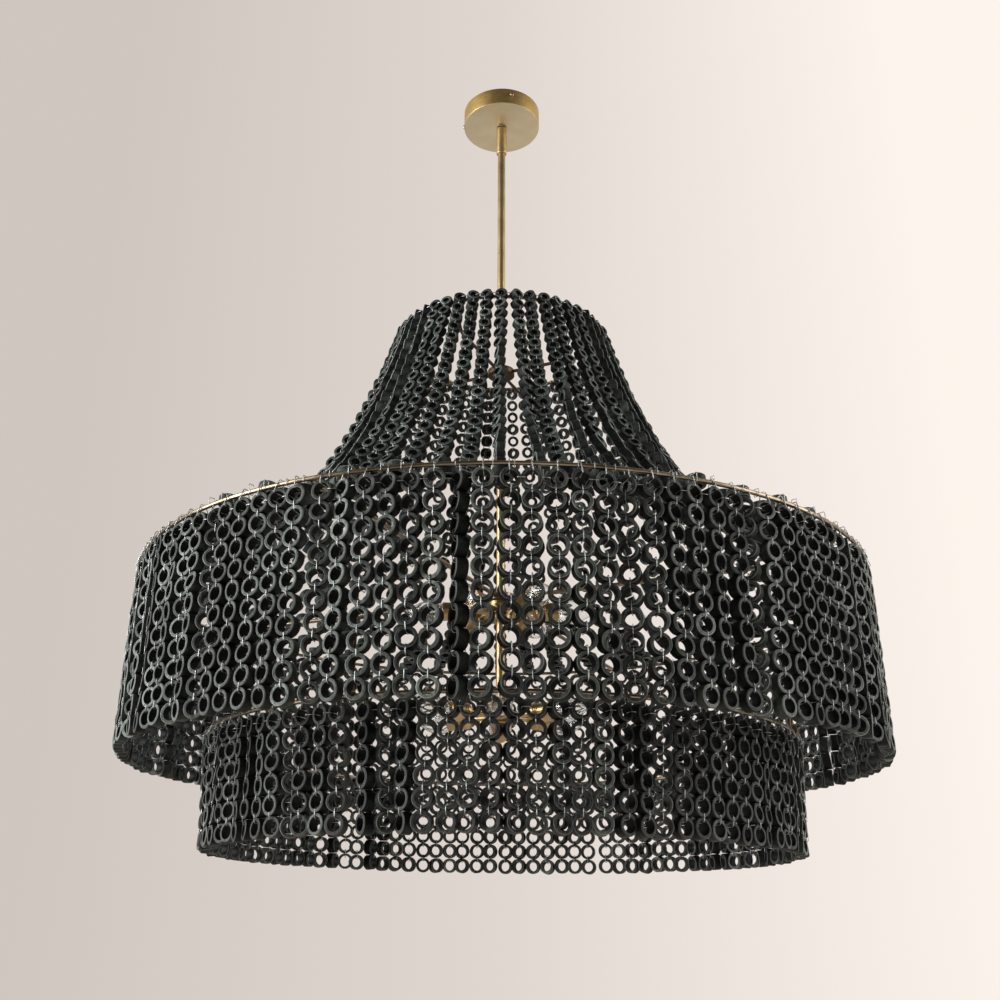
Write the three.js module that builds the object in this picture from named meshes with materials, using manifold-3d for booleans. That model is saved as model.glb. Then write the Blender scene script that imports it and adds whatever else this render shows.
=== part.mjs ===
// A stem-hung chandelier of beaded strands: a draped crown over an upper and a lower tier of strand
// curtains, on brass rings, with two clusters of candle lamps inside.
// Millimetres, +Z up. The origin is the centre of the ceiling plate's top face, on the ceiling.
import * as THREE from "three";
import { mergeVertices } from "three/addons/utils/BufferGeometryUtils.js";
import Module from "manifold-3d";

const wasm = await Module();
wasm.setup();

// Shared clearances and facets
const seatGap = 0.3;
const cutOverrun = 2;
const roundSides = 18;
const rodSides = 6;
const fullTurn = 2 * Math.PI;
const weldShare = 0.001;

// Layout: four quadrants, split where the spokes lie
const quadrantCount = 4;
const firstSpokeTurn = -24 * (Math.PI / 180);
const quadrantTurn = fullTurn / quadrantCount;

// Ceiling plate, canopy and its screws
const canopyRadius = 61.5;
const canopyDepth = 28.5;
const canopyWall = 1.2;
const canopyEdgeRadius = 2;
const canopyHoleRadius = 6.4;
const canopySides = 36;
const plateThickness = 2.5;
const plateTabWidth = 14;
const plateTabDrop = 16;
const plateBoltRadius = 2.4;
const plateBoltSpacing = 69.9;
const screwCount = 3;
const firstScrewTurn = -75 * (Math.PI / 180);
const screwShankRadius = 1.5;
const screwShankLength = 8;
const screwHeadRadius = 3.2;
const screwHeadLength = 4;
const screwDrop = 12;

// Swivel inside the canopy
const pivotDrop = 14;
const pinRadius = 2;
const earThickness = 2.5;
const earGap = 12;
const earWidth = 7;
const crossBlockSize = 6;
const headEarGap = 7;
const nippleRadius = 4.8;
const nippleBore = 3;
const nippleLength = 22;
const headPlateThickness = 3;

// Stem
const stemRadius = 6;
const stemWall = 1;
const collarRadius = 8.2;
const collarLength = 50;
const collarLift = 2.5;
const stemJointDrop = 273;
const couplerLength = 30;
const couplerBore = 3;

// Rings
const ringRodRadius = 2.5;
const ringFacets = 48;
const crownRingRadius = 144;
const crownRingDrop = 436;
const upperRingRadius = 483;
const upperRingDrop = 833;
const tierStep = 103;
const tierSpacing = 206.5;
const lowerRingRadius = upperRingRadius - tierStep;
const lowerRingDrop = upperRingDrop + tierSpacing;

// Spiders, which join the rings to the stem
const crownHubSink = 46;
const crownHubDrop = crownRingDrop + crownHubSink;
const hubRadius = 20;
const hubHeight = 10;
const spokeRadius = 3;
const crownSpokeRadius = 2.5;
const spokeBendRadius = 14;
const hangerRadius = 2;

// Beads, which set the thickness of every strand
const tierBeadLength = 14;
const tierBeadDiameter = 23;
const tierHookDrop = 2.2;
const crownBeadLength = 12;
const crownTopBeadDiameter = 17;
const crownFootBeadDiameter = 22;
const fluteDepth = 4.5;
const hemScallop = 7;

// Crown strands, which drape from the crown ring to the upper ring
const crownStrandsPerQuadrant = 13;
const crownStrandClearance = 0.5;
const crownStrandRise = 4;
const crownStrandTopRadius = crownRingRadius + ringRodRadius + crownStrandClearance
  + crownBeadLength / 2;
const crownStrandTopDrop = crownRingDrop - crownStrandRise;
const crownSag = 156;
const crownStrandSteps = 6;
const crownBandHeight = 18;
const crownBandThickness = 6;
const crownStepEaseShare = 1.4;
const bandSteps = 8;
const bandEndShare = 0.3;
const crownBandLeanShare = 0.2;

// Curtains of straight strands under the upper and lower rings
const curtainSideGap = 3.8;
const upperColumnsPerQuadrant = 31;
const upperRows = 10;
const upperPitch = 23.2;
const upperFlare = 4;
const lowerColumnsPerQuadrant = 26;
const lowerRows = 6;
const lowerPitch = 22.6;
const lowerFlare = -5;

// Lamp clusters
const lampCount = 6;
const clusterRadius = 17;
const clusterArmRadius = 4;
const upperClusterHeight = 28;
const lampHang = 19;
const lampSpacing = 145;
const upperLampDrop = upperRingDrop + lampHang;
const lowerLampDrop = upperLampDrop + lampSpacing;
const lowerClusterHeight = 22;
const socketStart = 45;
const socketLength = 35;
const socketRadius = 13;
const socketFloor = 4;
const socketSides = 10;
const bulbBaseRadius = 6;
const bulbBaseLength = 24;
const bulbRadius = 16;
const bulbLength = 52;
const bulbSides = 8;
const bulbSwellShare = 0.75;
const finialRadius = 11;
const finialNeckRadius = 7;
const finialNeckHeight = 4;

// Finishes
const agedBrass = finish("#8a6b3c", 0.38, 0.9);
const darkBrass = finish("#5d4326", 0.45, 0.85);
const zincSteel = finish("#a9abad", 0.45, 0.8);
const clearGlass = finish("#e9edee", 0.08, 0);
const charcoalBead = finish("#3b403e", 0.62, 0);

const part = new THREE.Group();

function finish(color, roughness, metalness) {
  return new THREE.MeshStandardMaterial({ color, roughness, metalness });
}

function addPiece(name, geometry, material, parent = part) {
  const mesh = new THREE.Mesh(geometry, material);
  mesh.name = name;
  parent.add(mesh);
  return mesh;
}

// Solid joining and cutting

function positionsOnly(geometry) {
  const bare = new THREE.BufferGeometry();
  bare.setAttribute("position", geometry.getAttribute("position"));
  bare.setIndex(geometry.getIndex());
  return mergeVertices(bare, seatGap * weldShare);
}

function toSolid(geometry) {
  const merged = positionsOnly(geometry);
  return new wasm.Manifold(new wasm.Mesh({
    numProp: 3,
    vertProperties: new Float32Array(merged.attributes.position.array),
    triVerts: new Uint32Array(merged.index.array),
  }));
}

function fromSolid(solid) {
  const mesh = solid.getMesh();
  const geometry = new THREE.BufferGeometry();
  geometry.setAttribute("position", new THREE.BufferAttribute(mesh.vertProperties, 3));
  geometry.setIndex(new THREE.BufferAttribute(mesh.triVerts, 1));
  geometry.computeVertexNormals();
  return geometry;
}

function join(geometries) {
  const solids = geometries.map(toSolid);
  return fromSolid(solids.reduce((whole, next) => whole.add(next)));
}

function cut(geometry, cutters) {
  return fromSolid(cutters.reduce((left, cutter) => left.subtract(toSolid(cutter)), toSolid(geometry)));
}

// Plain shapes, each placed by its centre or its ends

function box(sizeX, sizeY, sizeZ, x, y, z) {
  return new THREE.BoxGeometry(sizeX, sizeY, sizeZ).translate(x, y, z);
}

function rodBetween(start, end, radius, sides = rodSides) {
  const direction = end.clone().sub(start);
  const length = direction.length();
  const rod = new THREE.CylinderGeometry(radius, radius, length, sides);
  const turn = new THREE.Quaternion().setFromUnitVectors(
    new THREE.Vector3(0, 1, 0), direction.normalize());
  const middle = start.clone().add(end).multiplyScalar(0.5);
  return rod.applyQuaternion(turn).translate(middle.x, middle.y, middle.z);
}

function uprightRod(radius, top, bottom, sides = roundSides) {
  return rodBetween(new THREE.Vector3(0, 0, bottom), new THREE.Vector3(0, 0, top), radius, sides);
}

// A round piece about +Z from a profile of [radius, height] pairs.
function turned(profile, sides = roundSides) {
  const points = profile.map(([radius, height]) => new THREE.Vector2(radius, height));
  return new THREE.LatheGeometry(points, sides).rotateX(Math.PI / 2);
}

// An open pipe about +Z.
function pipe(outerRadius, boreRadius, top, bottom) {
  return turned([
    [boreRadius, bottom],
    [outerRadius, bottom],
    [outerRadius, top],
    [boreRadius, top],
    [boreRadius, bottom],
  ]);
}

function polar(radius, turn, height) {
  return new THREE.Vector3(radius * Math.cos(turn), radius * Math.sin(turn), height);
}

function spokeTurn(index) {
  return firstSpokeTurn + index * quadrantTurn;
}

// A closed ring of rod, with a facet corner over each spoke.
function ringRod(ringRadius, drop) {
  return new THREE.TorusGeometry(ringRadius, ringRodRadius, rodSides, ringFacets)
    .rotateZ(firstSpokeTurn)
    .translate(0, 0, -drop);
}

// A closed skin over a grid of outer points and a grid of inner points of the same size.
function sheetSolid(outer, inner) {
  const rows = outer.length;
  const columns = outer[0].length;
  const positions = [...outer.flat(), ...inner.flat()].flatMap((p) => [p.x, p.y, p.z]);
  const innerStart = rows * columns;
  const outerAt = (row, column) => row * columns + column;
  const innerAt = (row, column) => innerStart + row * columns + column;
  const faces = [];
  const quad = (a, b, c, d) => faces.push(a, b, c, a, c, d);
  for (let row = 0; row + 1 < rows; row += 1) {
    for (let column = 0; column + 1 < columns; column += 1) {
      quad(outerAt(row, column), outerAt(row + 1, column),
        outerAt(row + 1, column + 1), outerAt(row, column + 1));
      quad(innerAt(row, column), innerAt(row, column + 1),
        innerAt(row + 1, column + 1), innerAt(row + 1, column));
    }
    quad(innerAt(row, 0), innerAt(row + 1, 0), outerAt(row + 1, 0), outerAt(row, 0));
    quad(outerAt(row, columns - 1), outerAt(row + 1, columns - 1),
      innerAt(row + 1, columns - 1), innerAt(row, columns - 1));
  }
  for (let column = 0; column + 1 < columns; column += 1) {
    quad(outerAt(0, column), outerAt(0, column + 1), innerAt(0, column + 1), innerAt(0, column));
    quad(innerAt(rows - 1, column), innerAt(rows - 1, column + 1),
      outerAt(rows - 1, column + 1), outerAt(rows - 1, column));
  }
  const geometry = new THREE.BufferGeometry();
  geometry.setAttribute("position", new THREE.Float32BufferAttribute(positions, 3));
  geometry.setIndex(faces);
  geometry.computeVertexNormals();
  return geometry;
}

// A closed skin from its faces, each a loop of points split in a fan from its first point.
function faceSolid(faces) {
  const positions = faces.flatMap(([hub, ...rim]) => rim.slice(1)
    .flatMap((point, step) => [hub, rim[step], point].flatMap((p) => [p.x, p.y, p.z])));
  const geometry = new THREE.BufferGeometry();
  geometry.setAttribute("position", new THREE.Float32BufferAttribute(positions, 3));
  return join([geometry]);
}

// Ceiling plate with three turned-down tabs, which take the canopy's screws
function makeCeilingPlate() {
  const roomRadius = (canopyRadius - canopyWall) * Math.cos(Math.PI / canopySides) - seatGap;
  const tabReach = Math.sqrt(roomRadius ** 2 - (plateTabWidth / 2) ** 2);
  const disc = uprightRod(tabReach - 2 * plateThickness, 0, -plateThickness, canopySides);
  const tabs = [];
  for (let index = 0; index < screwCount; index += 1) {
    const turn = firstScrewTurn + index * (fullTurn / screwCount);
    const arm = box(plateTabWidth, plateTabWidth, plateThickness,
      tabReach - plateTabWidth / 2, 0, -plateThickness / 2);
    const tab = box(plateThickness, plateTabWidth, plateTabDrop,
      tabReach - plateThickness / 2, 0, -plateTabDrop / 2);
    tabs.push(arm.rotateZ(turn), tab.rotateZ(turn));
  }
  const holes = screwHoles();
  for (const side of [-1, 1]) {
    holes.push(uprightRod(plateBoltRadius, cutOverrun, -plateThickness - cutOverrun, rodSides)
      .translate(side * plateBoltSpacing / 2, 0, 0));
  }
  return cut(join([disc, ...tabs]), holes);
}

function screwHoles() {
  return Array.from({ length: screwCount }, (_, index) => {
    const turn = firstScrewTurn + index * (fullTurn / screwCount);
    return rodBetween(
      polar(canopyRadius - screwShankLength - cutOverrun, turn, -screwDrop),
      polar(canopyRadius + cutOverrun, turn, -screwDrop),
      screwShankRadius + seatGap);
  });
}

function makeCanopy() {
  const corner = canopyRadius - canopyEdgeRadius;
  const innerCorner = canopyRadius - canopyWall;
  const floorTop = -canopyDepth + canopyWall;
  const bend = canopyEdgeRadius * Math.SQRT1_2;
  const innerBend = (canopyEdgeRadius - canopyWall) * Math.SQRT1_2;
  const edgeHeight = -canopyDepth + canopyEdgeRadius;
  const shell = turned([
    [canopyHoleRadius, -canopyDepth],
    [corner, -canopyDepth],
    [corner + bend, edgeHeight - bend],
    [canopyRadius, edgeHeight],
    [canopyRadius, 0],
    [innerCorner, 0],
    [innerCorner, edgeHeight],
    [corner + innerBend, edgeHeight - innerBend],
    [corner, floorTop],
    [canopyHoleRadius, floorTop],
    [canopyHoleRadius, -canopyDepth],
  ], canopySides);
  return cut(shell, screwHoles());
}

function makeCanopyScrew(turn) {
  const headStart = canopyRadius + seatGap;
  const along = (reach) => polar(reach, turn, -screwDrop);
  const shank = rodBetween(
    along(headStart - screwShankLength), along(headStart + seatGap), screwShankRadius);
  const head = rodBetween(
    along(headStart), along(headStart + screwHeadLength), screwHeadRadius, roundSides / 2);
  return join([shank, head]);
}

// Swivel: a yoke under the plate, a cross with two pins, and the stem's clevis head
function makeSwivelYoke() {
  const top = -plateThickness - seatGap;
  const earBottom = -pivotDrop - earWidth / 2;
  const bridge = box(earGap + 2 * earThickness, earWidth, earThickness, 0, 0, top - earThickness / 2);
  const ears = [-1, 1].map((side) => box(earThickness, earWidth, top - earBottom,
    side * (earGap + earThickness) / 2, 0, (top + earBottom) / 2));
  const reach = earGap / 2 + earThickness + cutOverrun;
  const pinHole = rodBetween(new THREE.Vector3(-reach, 0, -pivotDrop),
    new THREE.Vector3(reach, 0, -pivotDrop), pinRadius + seatGap);
  return cut(join([bridge, ...ears]), [pinHole]);
}

function makeSwivelCross() {
  const block = box(crossBlockSize, crossBlockSize, crossBlockSize, 0, 0, -pivotDrop);
  const yokePin = earGap / 2 + earThickness;
  const headPin = headEarGap / 2 + earThickness;
  const pinX = rodBetween(new THREE.Vector3(-yokePin, 0, -pivotDrop),
    new THREE.Vector3(yokePin, 0, -pivotDrop), pinRadius);
  const pinY = rodBetween(new THREE.Vector3(0, -headPin, -pivotDrop),
    new THREE.Vector3(0, headPin, -pivotDrop), pinRadius);
  return join([block, pinX, pinY]);
}

function makeSwivelHead() {
  const plateTop = -pivotDrop - earWidth / 2 - headPlateThickness;
  const earTop = -pivotDrop + earWidth / 2;
  const nippleTop = plateTop - headPlateThickness + seatGap;
  const ears = [-1, 1].map((side) => box(earWidth, earThickness, earTop - plateTop + seatGap,
    0, side * (headEarGap + earThickness) / 2, (earTop + plateTop - seatGap) / 2));
  const base = box(earWidth, headEarGap + 2 * earThickness, headPlateThickness,
    0, 0, plateTop - headPlateThickness / 2);
  const nipple = uprightRod(nippleRadius, nippleTop, plateTop - nippleLength);
  const wireway = uprightRod(nippleBore, plateTop + cutOverrun, plateTop - nippleLength - cutOverrun);
  const reach = headEarGap / 2 + earThickness + cutOverrun;
  const pinHole = rodBetween(new THREE.Vector3(0, -reach, -pivotDrop),
    new THREE.Vector3(0, reach, -pivotDrop), pinRadius + seatGap);
  return cut(join([base, ...ears, nipple]), [wireway, pinHole]);
}

// Stem: a collar, two tubes and the coupler inside their joint
const collarTop = -canopyDepth - collarLift;
const nippleBottom = -pivotDrop - earWidth / 2 - headPlateThickness - nippleLength;
const collarStep = nippleBottom - seatGap;
const stemTop = collarStep - seatGap;
const stemJoint = -stemJointDrop;
const lowerClusterBottom = -lowerLampDrop - lowerClusterHeight / 2;
const stemBottom = lowerClusterBottom - seatGap;
const stemBore = stemRadius - stemWall;

function makeCollar() {
  const bottom = collarTop - collarLength;
  return turned([
    [stemRadius + seatGap, bottom],
    [collarRadius, bottom],
    [collarRadius, collarTop],
    [nippleRadius + seatGap, collarTop],
    [nippleRadius + seatGap, collarStep],
    [stemRadius + seatGap, collarStep],
    [stemRadius + seatGap, bottom],
  ]);
}

function makeCoupler() {
  const half = couplerLength / 2;
  return pipe(stemBore - seatGap, couplerBore, stemJoint + half, stemJoint - half);
}

// Crown spider: a hub whose four arms turn up at the ends to carry the crown ring
function makeCrownSpider() {
  const ringBottom = -crownRingDrop - ringRodRadius - seatGap;
  const armHeight = -crownHubDrop;
  const arms = Array.from({ length: quadrantCount }, (_, index) => {
    const turn = spokeTurn(index);
    const at = (radius, height) => polar(radius, turn, height);
    const elbow = crownRingRadius - spokeBendRadius;
    const route = new THREE.CurvePath();
    route.add(new THREE.LineCurve3(at(stemRadius + spokeRadius, armHeight), at(elbow, armHeight)));
    route.add(new THREE.QuadraticBezierCurve3(at(elbow, armHeight),
      at(crownRingRadius, armHeight), at(crownRingRadius, armHeight + spokeBendRadius)));
    route.add(new THREE.LineCurve3(
      at(crownRingRadius, armHeight + spokeBendRadius), at(crownRingRadius, ringBottom)));
    return sweptRod(route, crownSpokeRadius, crownSpokeSteps(route));
  });
  return spiderOnStem(armHeight, arms);
}

// Steps along a bent arm, one for about three diameters of its rod.
function crownSpokeSteps(route) {
  return Math.round(route.getLength() / (crownSpokeRadius * rodSides));
}

function sweptRod(route, radius, steps) {
  const section = new THREE.Shape();
  section.absarc(0, 0, radius, 0, fullTurn);
  return new THREE.ExtrudeGeometry(section, {
    steps, bevelEnabled: false, extrudePath: route, curveSegments: rodSides / 2,
  });
}

function spiderOnStem(height, arms) {
  const hub = uprightRod(hubRadius, height + hubHeight / 2, height - hubHeight / 2);
  const bore = uprightRod(stemRadius + seatGap, height + hubHeight, height - hubHeight);
  return cut(join([hub, ...arms]), [bore]);
}

function makeUpperSpider() {
  const height = -upperRingDrop;
  const reach = upperRingRadius - ringRodRadius - seatGap;
  const spokes = Array.from({ length: quadrantCount }, (_, index) => rodBetween(
    polar(stemRadius + spokeRadius, spokeTurn(index), height),
    polar(reach, spokeTurn(index), height), spokeRadius));
  return spiderOnStem(height, spokes);
}

// Hanger: a straight rod with an eye round a spoke above and an eye round the lower ring below
function makeHanger(turn) {
  const upperEyeRadius = spokeRadius + seatGap + hangerRadius;
  const lowerEyeRadius = ringRodRadius + 2 * seatGap + hangerRadius;
  const upperEye = new THREE.TorusGeometry(upperEyeRadius, hangerRadius, rodSides, rodSides * 2)
    .rotateY(Math.PI / 2)
    .rotateZ(turn);
  const lowerEye = new THREE.TorusGeometry(lowerEyeRadius, hangerRadius, rodSides, rodSides * 2)
    .rotateX(Math.PI / 2)
    .rotateZ(turn);
  const top = polar(lowerRingRadius, turn, -upperRingDrop);
  const bottom = polar(lowerRingRadius, turn, -lowerRingDrop);
  upperEye.translate(top.x, top.y, top.z);
  lowerEye.translate(bottom.x, bottom.y, bottom.z);
  const rod = rodBetween(bottom.setZ(bottom.z + lowerEyeRadius), top.setZ(top.z - upperEyeRadius),
    hangerRadius);
  return join([rod, upperEye, lowerEye]);
}

// Crown strands: draped fingers under a curved band, one comb for each quadrant. The band lies round
// the crown ring, and the fingers' feet rest on the upper ring.
const crownStrandFootRadius = upperRingRadius;
const crownStrandFootDrop = upperRingDrop - ringRodRadius - seatGap - crownBeadLength / 2;
const crownBandTop = -crownStrandTopDrop;

function drapeHeight(radius) {
  const span = crownStrandFootRadius - crownStrandTopRadius;
  const rise = crownStrandTopDrop - crownStrandFootDrop;
  const lowest = (crownStrandTopRadius + crownStrandFootRadius) / 2
    - crownSag * Math.asinh(rise / (2 * crownSag * Math.sinh(span / (2 * crownSag))));
  const hang = (at) => crownSag * Math.cosh((at - lowest) / crownSag);
  return hang(radius) - hang(crownStrandTopRadius) - crownStrandTopDrop;
}

// The band leans out with the strands: this is its middle radius at a drop below its top.
function drapeRadius(drop) {
  return crownStrandTopRadius + drop * crownBandLeanShare;
}

// One strand as a flat-sided finger in the plane of its turn, from the crown ring to the upper ring.
function crownFinger(turn) {
  const outer = [];
  const inner = [];
  for (let step = 0; step <= crownStrandSteps; step += 1) {
    const share = (step / crownStrandSteps) ** crownStepEaseShare;
    const radius = THREE.MathUtils.lerp(crownStrandTopRadius, crownStrandFootRadius, share);
    const half = THREE.MathUtils.lerp(crownTopBeadDiameter, crownFootBeadDiameter, share) / 2;
    const centre = new THREE.Vector2(radius, drapeHeight(radius));
    const ahead = new THREE.Vector2(radius + seatGap, drapeHeight(radius + seatGap));
    const along = ahead.sub(centre).normalize();
    const outward = new THREE.Vector2(-along.y, along.x);
    const place = (proud, side) => {
      const spot = centre.clone().addScaledVector(outward, proud);
      return polar(spot.x, turn, spot.y)
        .add(polar(side, turn + quadrantTurn, 0));
    };
    const proud = crownBeadLength / 2;
    outer.push([place(proud, -half), place(proud, half)]);
    inner.push([place(-proud, -half), place(-proud, half)]);
  }
  return sheetSolid(outer, inner);
}

function makeCrownStrands(index) {
  const start = spokeTurn(index);
  const pitch = quadrantTurn / crownStrandsPerQuadrant;
  const fingers = Array.from({ length: crownStrandsPerQuadrant },
    (_, strand) => crownFinger(start + (strand + 0.5) * pitch));
  const facetTurn = pitch * (crownStrandsPerQuadrant - 2 * bandEndShare) / bandSteps;
  const innerRadius = (crownRingRadius + ringRodRadius + seatGap) / Math.cos(facetTurn / 2);
  const outer = [];
  const inner = [];
  for (const drop of [0, crownBandHeight]) {
    const outerRadius = drapeRadius(drop) + crownBandThickness / 2;
    const outerRow = [];
    const innerRow = [];
    for (let step = 0; step <= bandSteps; step += 1) {
      const side = THREE.MathUtils.lerp(bandEndShare, crownStrandsPerQuadrant - bandEndShare,
        step / bandSteps);
      const turn = start + side * pitch;
      outerRow.push(polar(outerRadius, turn, crownBandTop - drop));
      innerRow.push(polar(innerRadius, turn, crownBandTop - drop));
    }
    outer.push(outerRow);
    inner.push(innerRow);
  }
  return join([sheetSolid(outer, inner), ...fingers]);
}

// Curtains: a sheet for each quadrant, fluted on its inner face with one flute for each strand, studded
// on its outer face with one stud for each bead, and with a scalloped hem
function makeCurtain(index, { ringRadius, ringDrop, columns, rows, pitch: rowPitch, flare }) {
  const top = -ringDrop - ringRodRadius - seatGap;
  const firstCentre = top - tierHookDrop - tierBeadDiameter / 2;
  const hem = firstCentre - (rows - 1) * rowPitch - tierBeadDiameter / 2;
  const sideTurn = curtainSideGap / ringRadius;
  const start = spokeTurn(index) + sideTurn;
  const pitch = (quadrantTurn - 2 * sideTurn) / columns;
  const crest = tierBeadLength / 2;
  const valley = crest - fluteDepth;
  const place = (column, height, proud) => polar(
    ringRadius + flare * (top - height) / (top - hem) + proud, start + column * pitch, height);
  const faces = [];

  // The closing faces: the top, the inner face and the hem, in half columns, and the two ends.
  const section = (step) => {
    const onCrest = step % 2 === 1;
    const proud = onCrest ? crest : valley;
    const low = onCrest ? hem : hem + hemScallop;
    return [[top, proud], [top, -proud], [low, -proud], [low, proud]]
      .map(([height, reach]) => place(step / 2, height, reach));
  };
  for (let step = 0; step < 2 * columns; step += 1) {
    const here = section(step);
    const next = section(step + 1);
    for (let side = 0; side + 1 < here.length; side += 1) {
      faces.push([here[side], next[side], next[side + 1], here[side + 1]]);
    }
  }
  const between = Array.from({ length: rows - 1 }, (_, row) => firstCentre - (row + 0.5) * rowPitch);
  const lines = [top, ...between, hem + hemScallop];
  const end = (column) => lines.map((height) => place(column, height, valley));
  const [, leftTop, leftHem] = section(0);
  const [, rightTop, rightHem] = section(2 * columns);
  faces.push([leftTop, leftHem, ...end(0).reverse()], [rightTop, ...end(columns), rightHem]);

  // The studs: each rises from the valley lines round its bead to the bead's centre.
  for (let column = 0; column < columns; column += 1) {
    const middle = column + 0.5;
    for (let row = 0; row < rows; row += 1) {
      const rim = [place(column, lines[row], valley), place(column, lines[row + 1], valley)];
      if (row + 1 === rows) rim.push(place(middle, hem, crest));
      rim.push(place(column + 1, lines[row + 1], valley), place(column + 1, lines[row], valley));
      if (row === 0) rim.push(place(middle, top, crest));
      faces.push([place(middle, firstCentre - row * rowPitch, crest), ...rim, rim[0]]);
    }
  }
  return faceSolid(faces);
}

// Lamp clusters: a body on the stem with six stub arms, a socket on each arm and a bulb in each socket
function makeClusterBody(lampHeight, height, firstTurn, top) {
  const bottom = top - height;
  const body = uprightRod(clusterRadius, top, bottom);
  const arms = Array.from({ length: lampCount }, (_, index) => {
    const turn = firstTurn + index * (fullTurn / lampCount);
    return rodBetween(polar(stemRadius + clusterArmRadius, turn, lampHeight),
      polar(socketStart - seatGap, turn, lampHeight), clusterArmRadius);
  });
  const bore = uprightRod(stemRadius + seatGap, top + cutOverrun, bottom - cutOverrun);
  return cut(join([body, ...arms]), [bore]);
}

// Sockets and bulbs are turned about +Z and then laid along +X.
function layAlongX(geometry) {
  return geometry.rotateY(Math.PI / 2);
}

function makeSocket() {
  const bore = (bulbBaseRadius + seatGap) / Math.cos(Math.PI / socketSides);
  const mouth = socketStart + socketLength;
  const floor = socketStart + socketFloor;
  return layAlongX(turned([
    [0, socketStart],
    [socketRadius - socketFloor, socketStart],
    [socketRadius, floor],
    [socketRadius, mouth],
    [bore, mouth],
    [bore, floor],
    [0, floor],
  ], socketSides));
}

function makeBulb() {
  const mouth = socketStart + socketLength + seatGap;
  const baseEnd = mouth - bulbBaseLength;
  const glassSteps = 5;
  const glass = Array.from({ length: glassSteps }, (_, step) => {
    const share = step / glassSteps;
    const swell = Math.sin(Math.PI * share ** bulbSwellShare);
    const taper = THREE.MathUtils.lerp(bulbBaseRadius, 0, share);
    return [taper + (bulbRadius - bulbBaseRadius / 2) * swell, mouth + bulbLength * share];
  });
  return layAlongX(turned([
    [0, baseEnd],
    [bulbBaseRadius, baseEnd],
    ...glass,
    [0, mouth + bulbLength],
  ], bulbSides));
}

function addLamps(tier, drop, firstTurn) {
  for (let index = 0; index < lampCount; index += 1) {
    const seat = new THREE.Group();
    seat.position.z = -drop;
    seat.rotation.z = firstTurn + index * (fullTurn / lampCount);
    addPiece(`${tier}_socket_${index + 1}`, makeSocket(), darkBrass, seat);
    addPiece(`${tier}_bulb_${index + 1}`, makeBulb(), clearGlass, seat);
    part.add(seat);
  }
}

function makeFinial() {
  const top = stemBottom - seatGap;
  const plugRadius = stemBore - seatGap;
  const ballTop = top - finialNeckHeight;
  const ballSteps = 6;
  const neckLift = finialRadius - Math.sqrt(finialRadius ** 2 - finialNeckRadius ** 2);
  const centre = ballTop + neckLift - finialRadius;
  const firstTurn = Math.asin(finialNeckRadius / finialRadius);
  const ball = Array.from({ length: ballSteps }, (_, step) => {
    const turn = THREE.MathUtils.lerp(firstTurn, Math.PI, step / ballSteps);
    return [finialRadius * Math.sin(turn), centre + finialRadius * Math.cos(turn)];
  });
  return turned([
    [0, centre - finialRadius],
    ...ball.reverse(),
    [finialNeckRadius, top],
    [plugRadius, top],
    [plugRadius, top + finialRadius],
    [0, top + finialRadius],
  ], roundSides / 2);
}

// Assembly
addPiece("ceiling_plate", makeCeilingPlate(), zincSteel);
addPiece("swivel_yoke", makeSwivelYoke(), zincSteel);
addPiece("swivel_cross", makeSwivelCross(), zincSteel);
addPiece("swivel_head", makeSwivelHead(), zincSteel);
addPiece("canopy", makeCanopy(), agedBrass);
for (let index = 0; index < screwCount; index += 1) {
  const turn = firstScrewTurn + index * (fullTurn / screwCount);
  addPiece(`canopy_screw_${index + 1}`, makeCanopyScrew(turn), agedBrass);
}
addPiece("canopy_collar", makeCollar(), agedBrass);
addPiece("stem_upper", pipe(stemRadius, stemBore, stemTop, stemJoint + seatGap / 2), agedBrass);
addPiece("stem_coupler", makeCoupler(), zincSteel);
addPiece("stem_lower", pipe(stemRadius, stemBore, stemJoint - seatGap / 2, stemBottom), agedBrass);
addPiece("stem_finial", makeFinial(), darkBrass);

addPiece("crown_ring", ringRod(crownRingRadius, crownRingDrop), darkBrass);
addPiece("upper_ring", ringRod(upperRingRadius, upperRingDrop), agedBrass);
addPiece("lower_ring", ringRod(lowerRingRadius, lowerRingDrop), agedBrass);
addPiece("crown_spider", makeCrownSpider(), darkBrass);
addPiece("upper_spider", makeUpperSpider(), agedBrass);

const upperClusterTop = -upperRingDrop - hubHeight / 2 - seatGap;
const lampPitch = fullTurn / lampCount;
addPiece("upper_lamp_cluster",
  makeClusterBody(-upperLampDrop, upperClusterHeight, 0, upperClusterTop), darkBrass);
addPiece("lower_lamp_cluster",
  makeClusterBody(-lowerLampDrop, lowerClusterHeight, lampPitch / 2,
    -lowerLampDrop + lowerClusterHeight / 2), darkBrass);
addLamps("upper", upperLampDrop, 0);
addLamps("lower", lowerLampDrop, lampPitch / 2);

const upperCurtain = {
  ringRadius: upperRingRadius,
  ringDrop: upperRingDrop,
  columns: upperColumnsPerQuadrant,
  rows: upperRows,
  pitch: upperPitch,
  flare: upperFlare,
};
const lowerCurtain = {
  ringRadius: lowerRingRadius,
  ringDrop: lowerRingDrop,
  columns: lowerColumnsPerQuadrant,
  rows: lowerRows,
  pitch: lowerPitch,
  flare: lowerFlare,
};
for (let index = 0; index < quadrantCount; index += 1) {
  addPiece(`hanger_${index + 1}`, makeHanger(spokeTurn(index)), darkBrass);
  addPiece(`crown_strands_${index + 1}`, makeCrownStrands(index), charcoalBead);
  addPiece(`upper_curtain_${index + 1}`, makeCurtain(index, upperCurtain), charcoalBead);
  addPiece(`lower_curtain_${index + 1}`, makeCurtain(index, lowerCurtain), charcoalBead);
}

export default part;
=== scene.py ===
"""Looks of the beaded chandelier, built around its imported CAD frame. Metres, +Z up, ceiling at z = 0."""
import math

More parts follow.
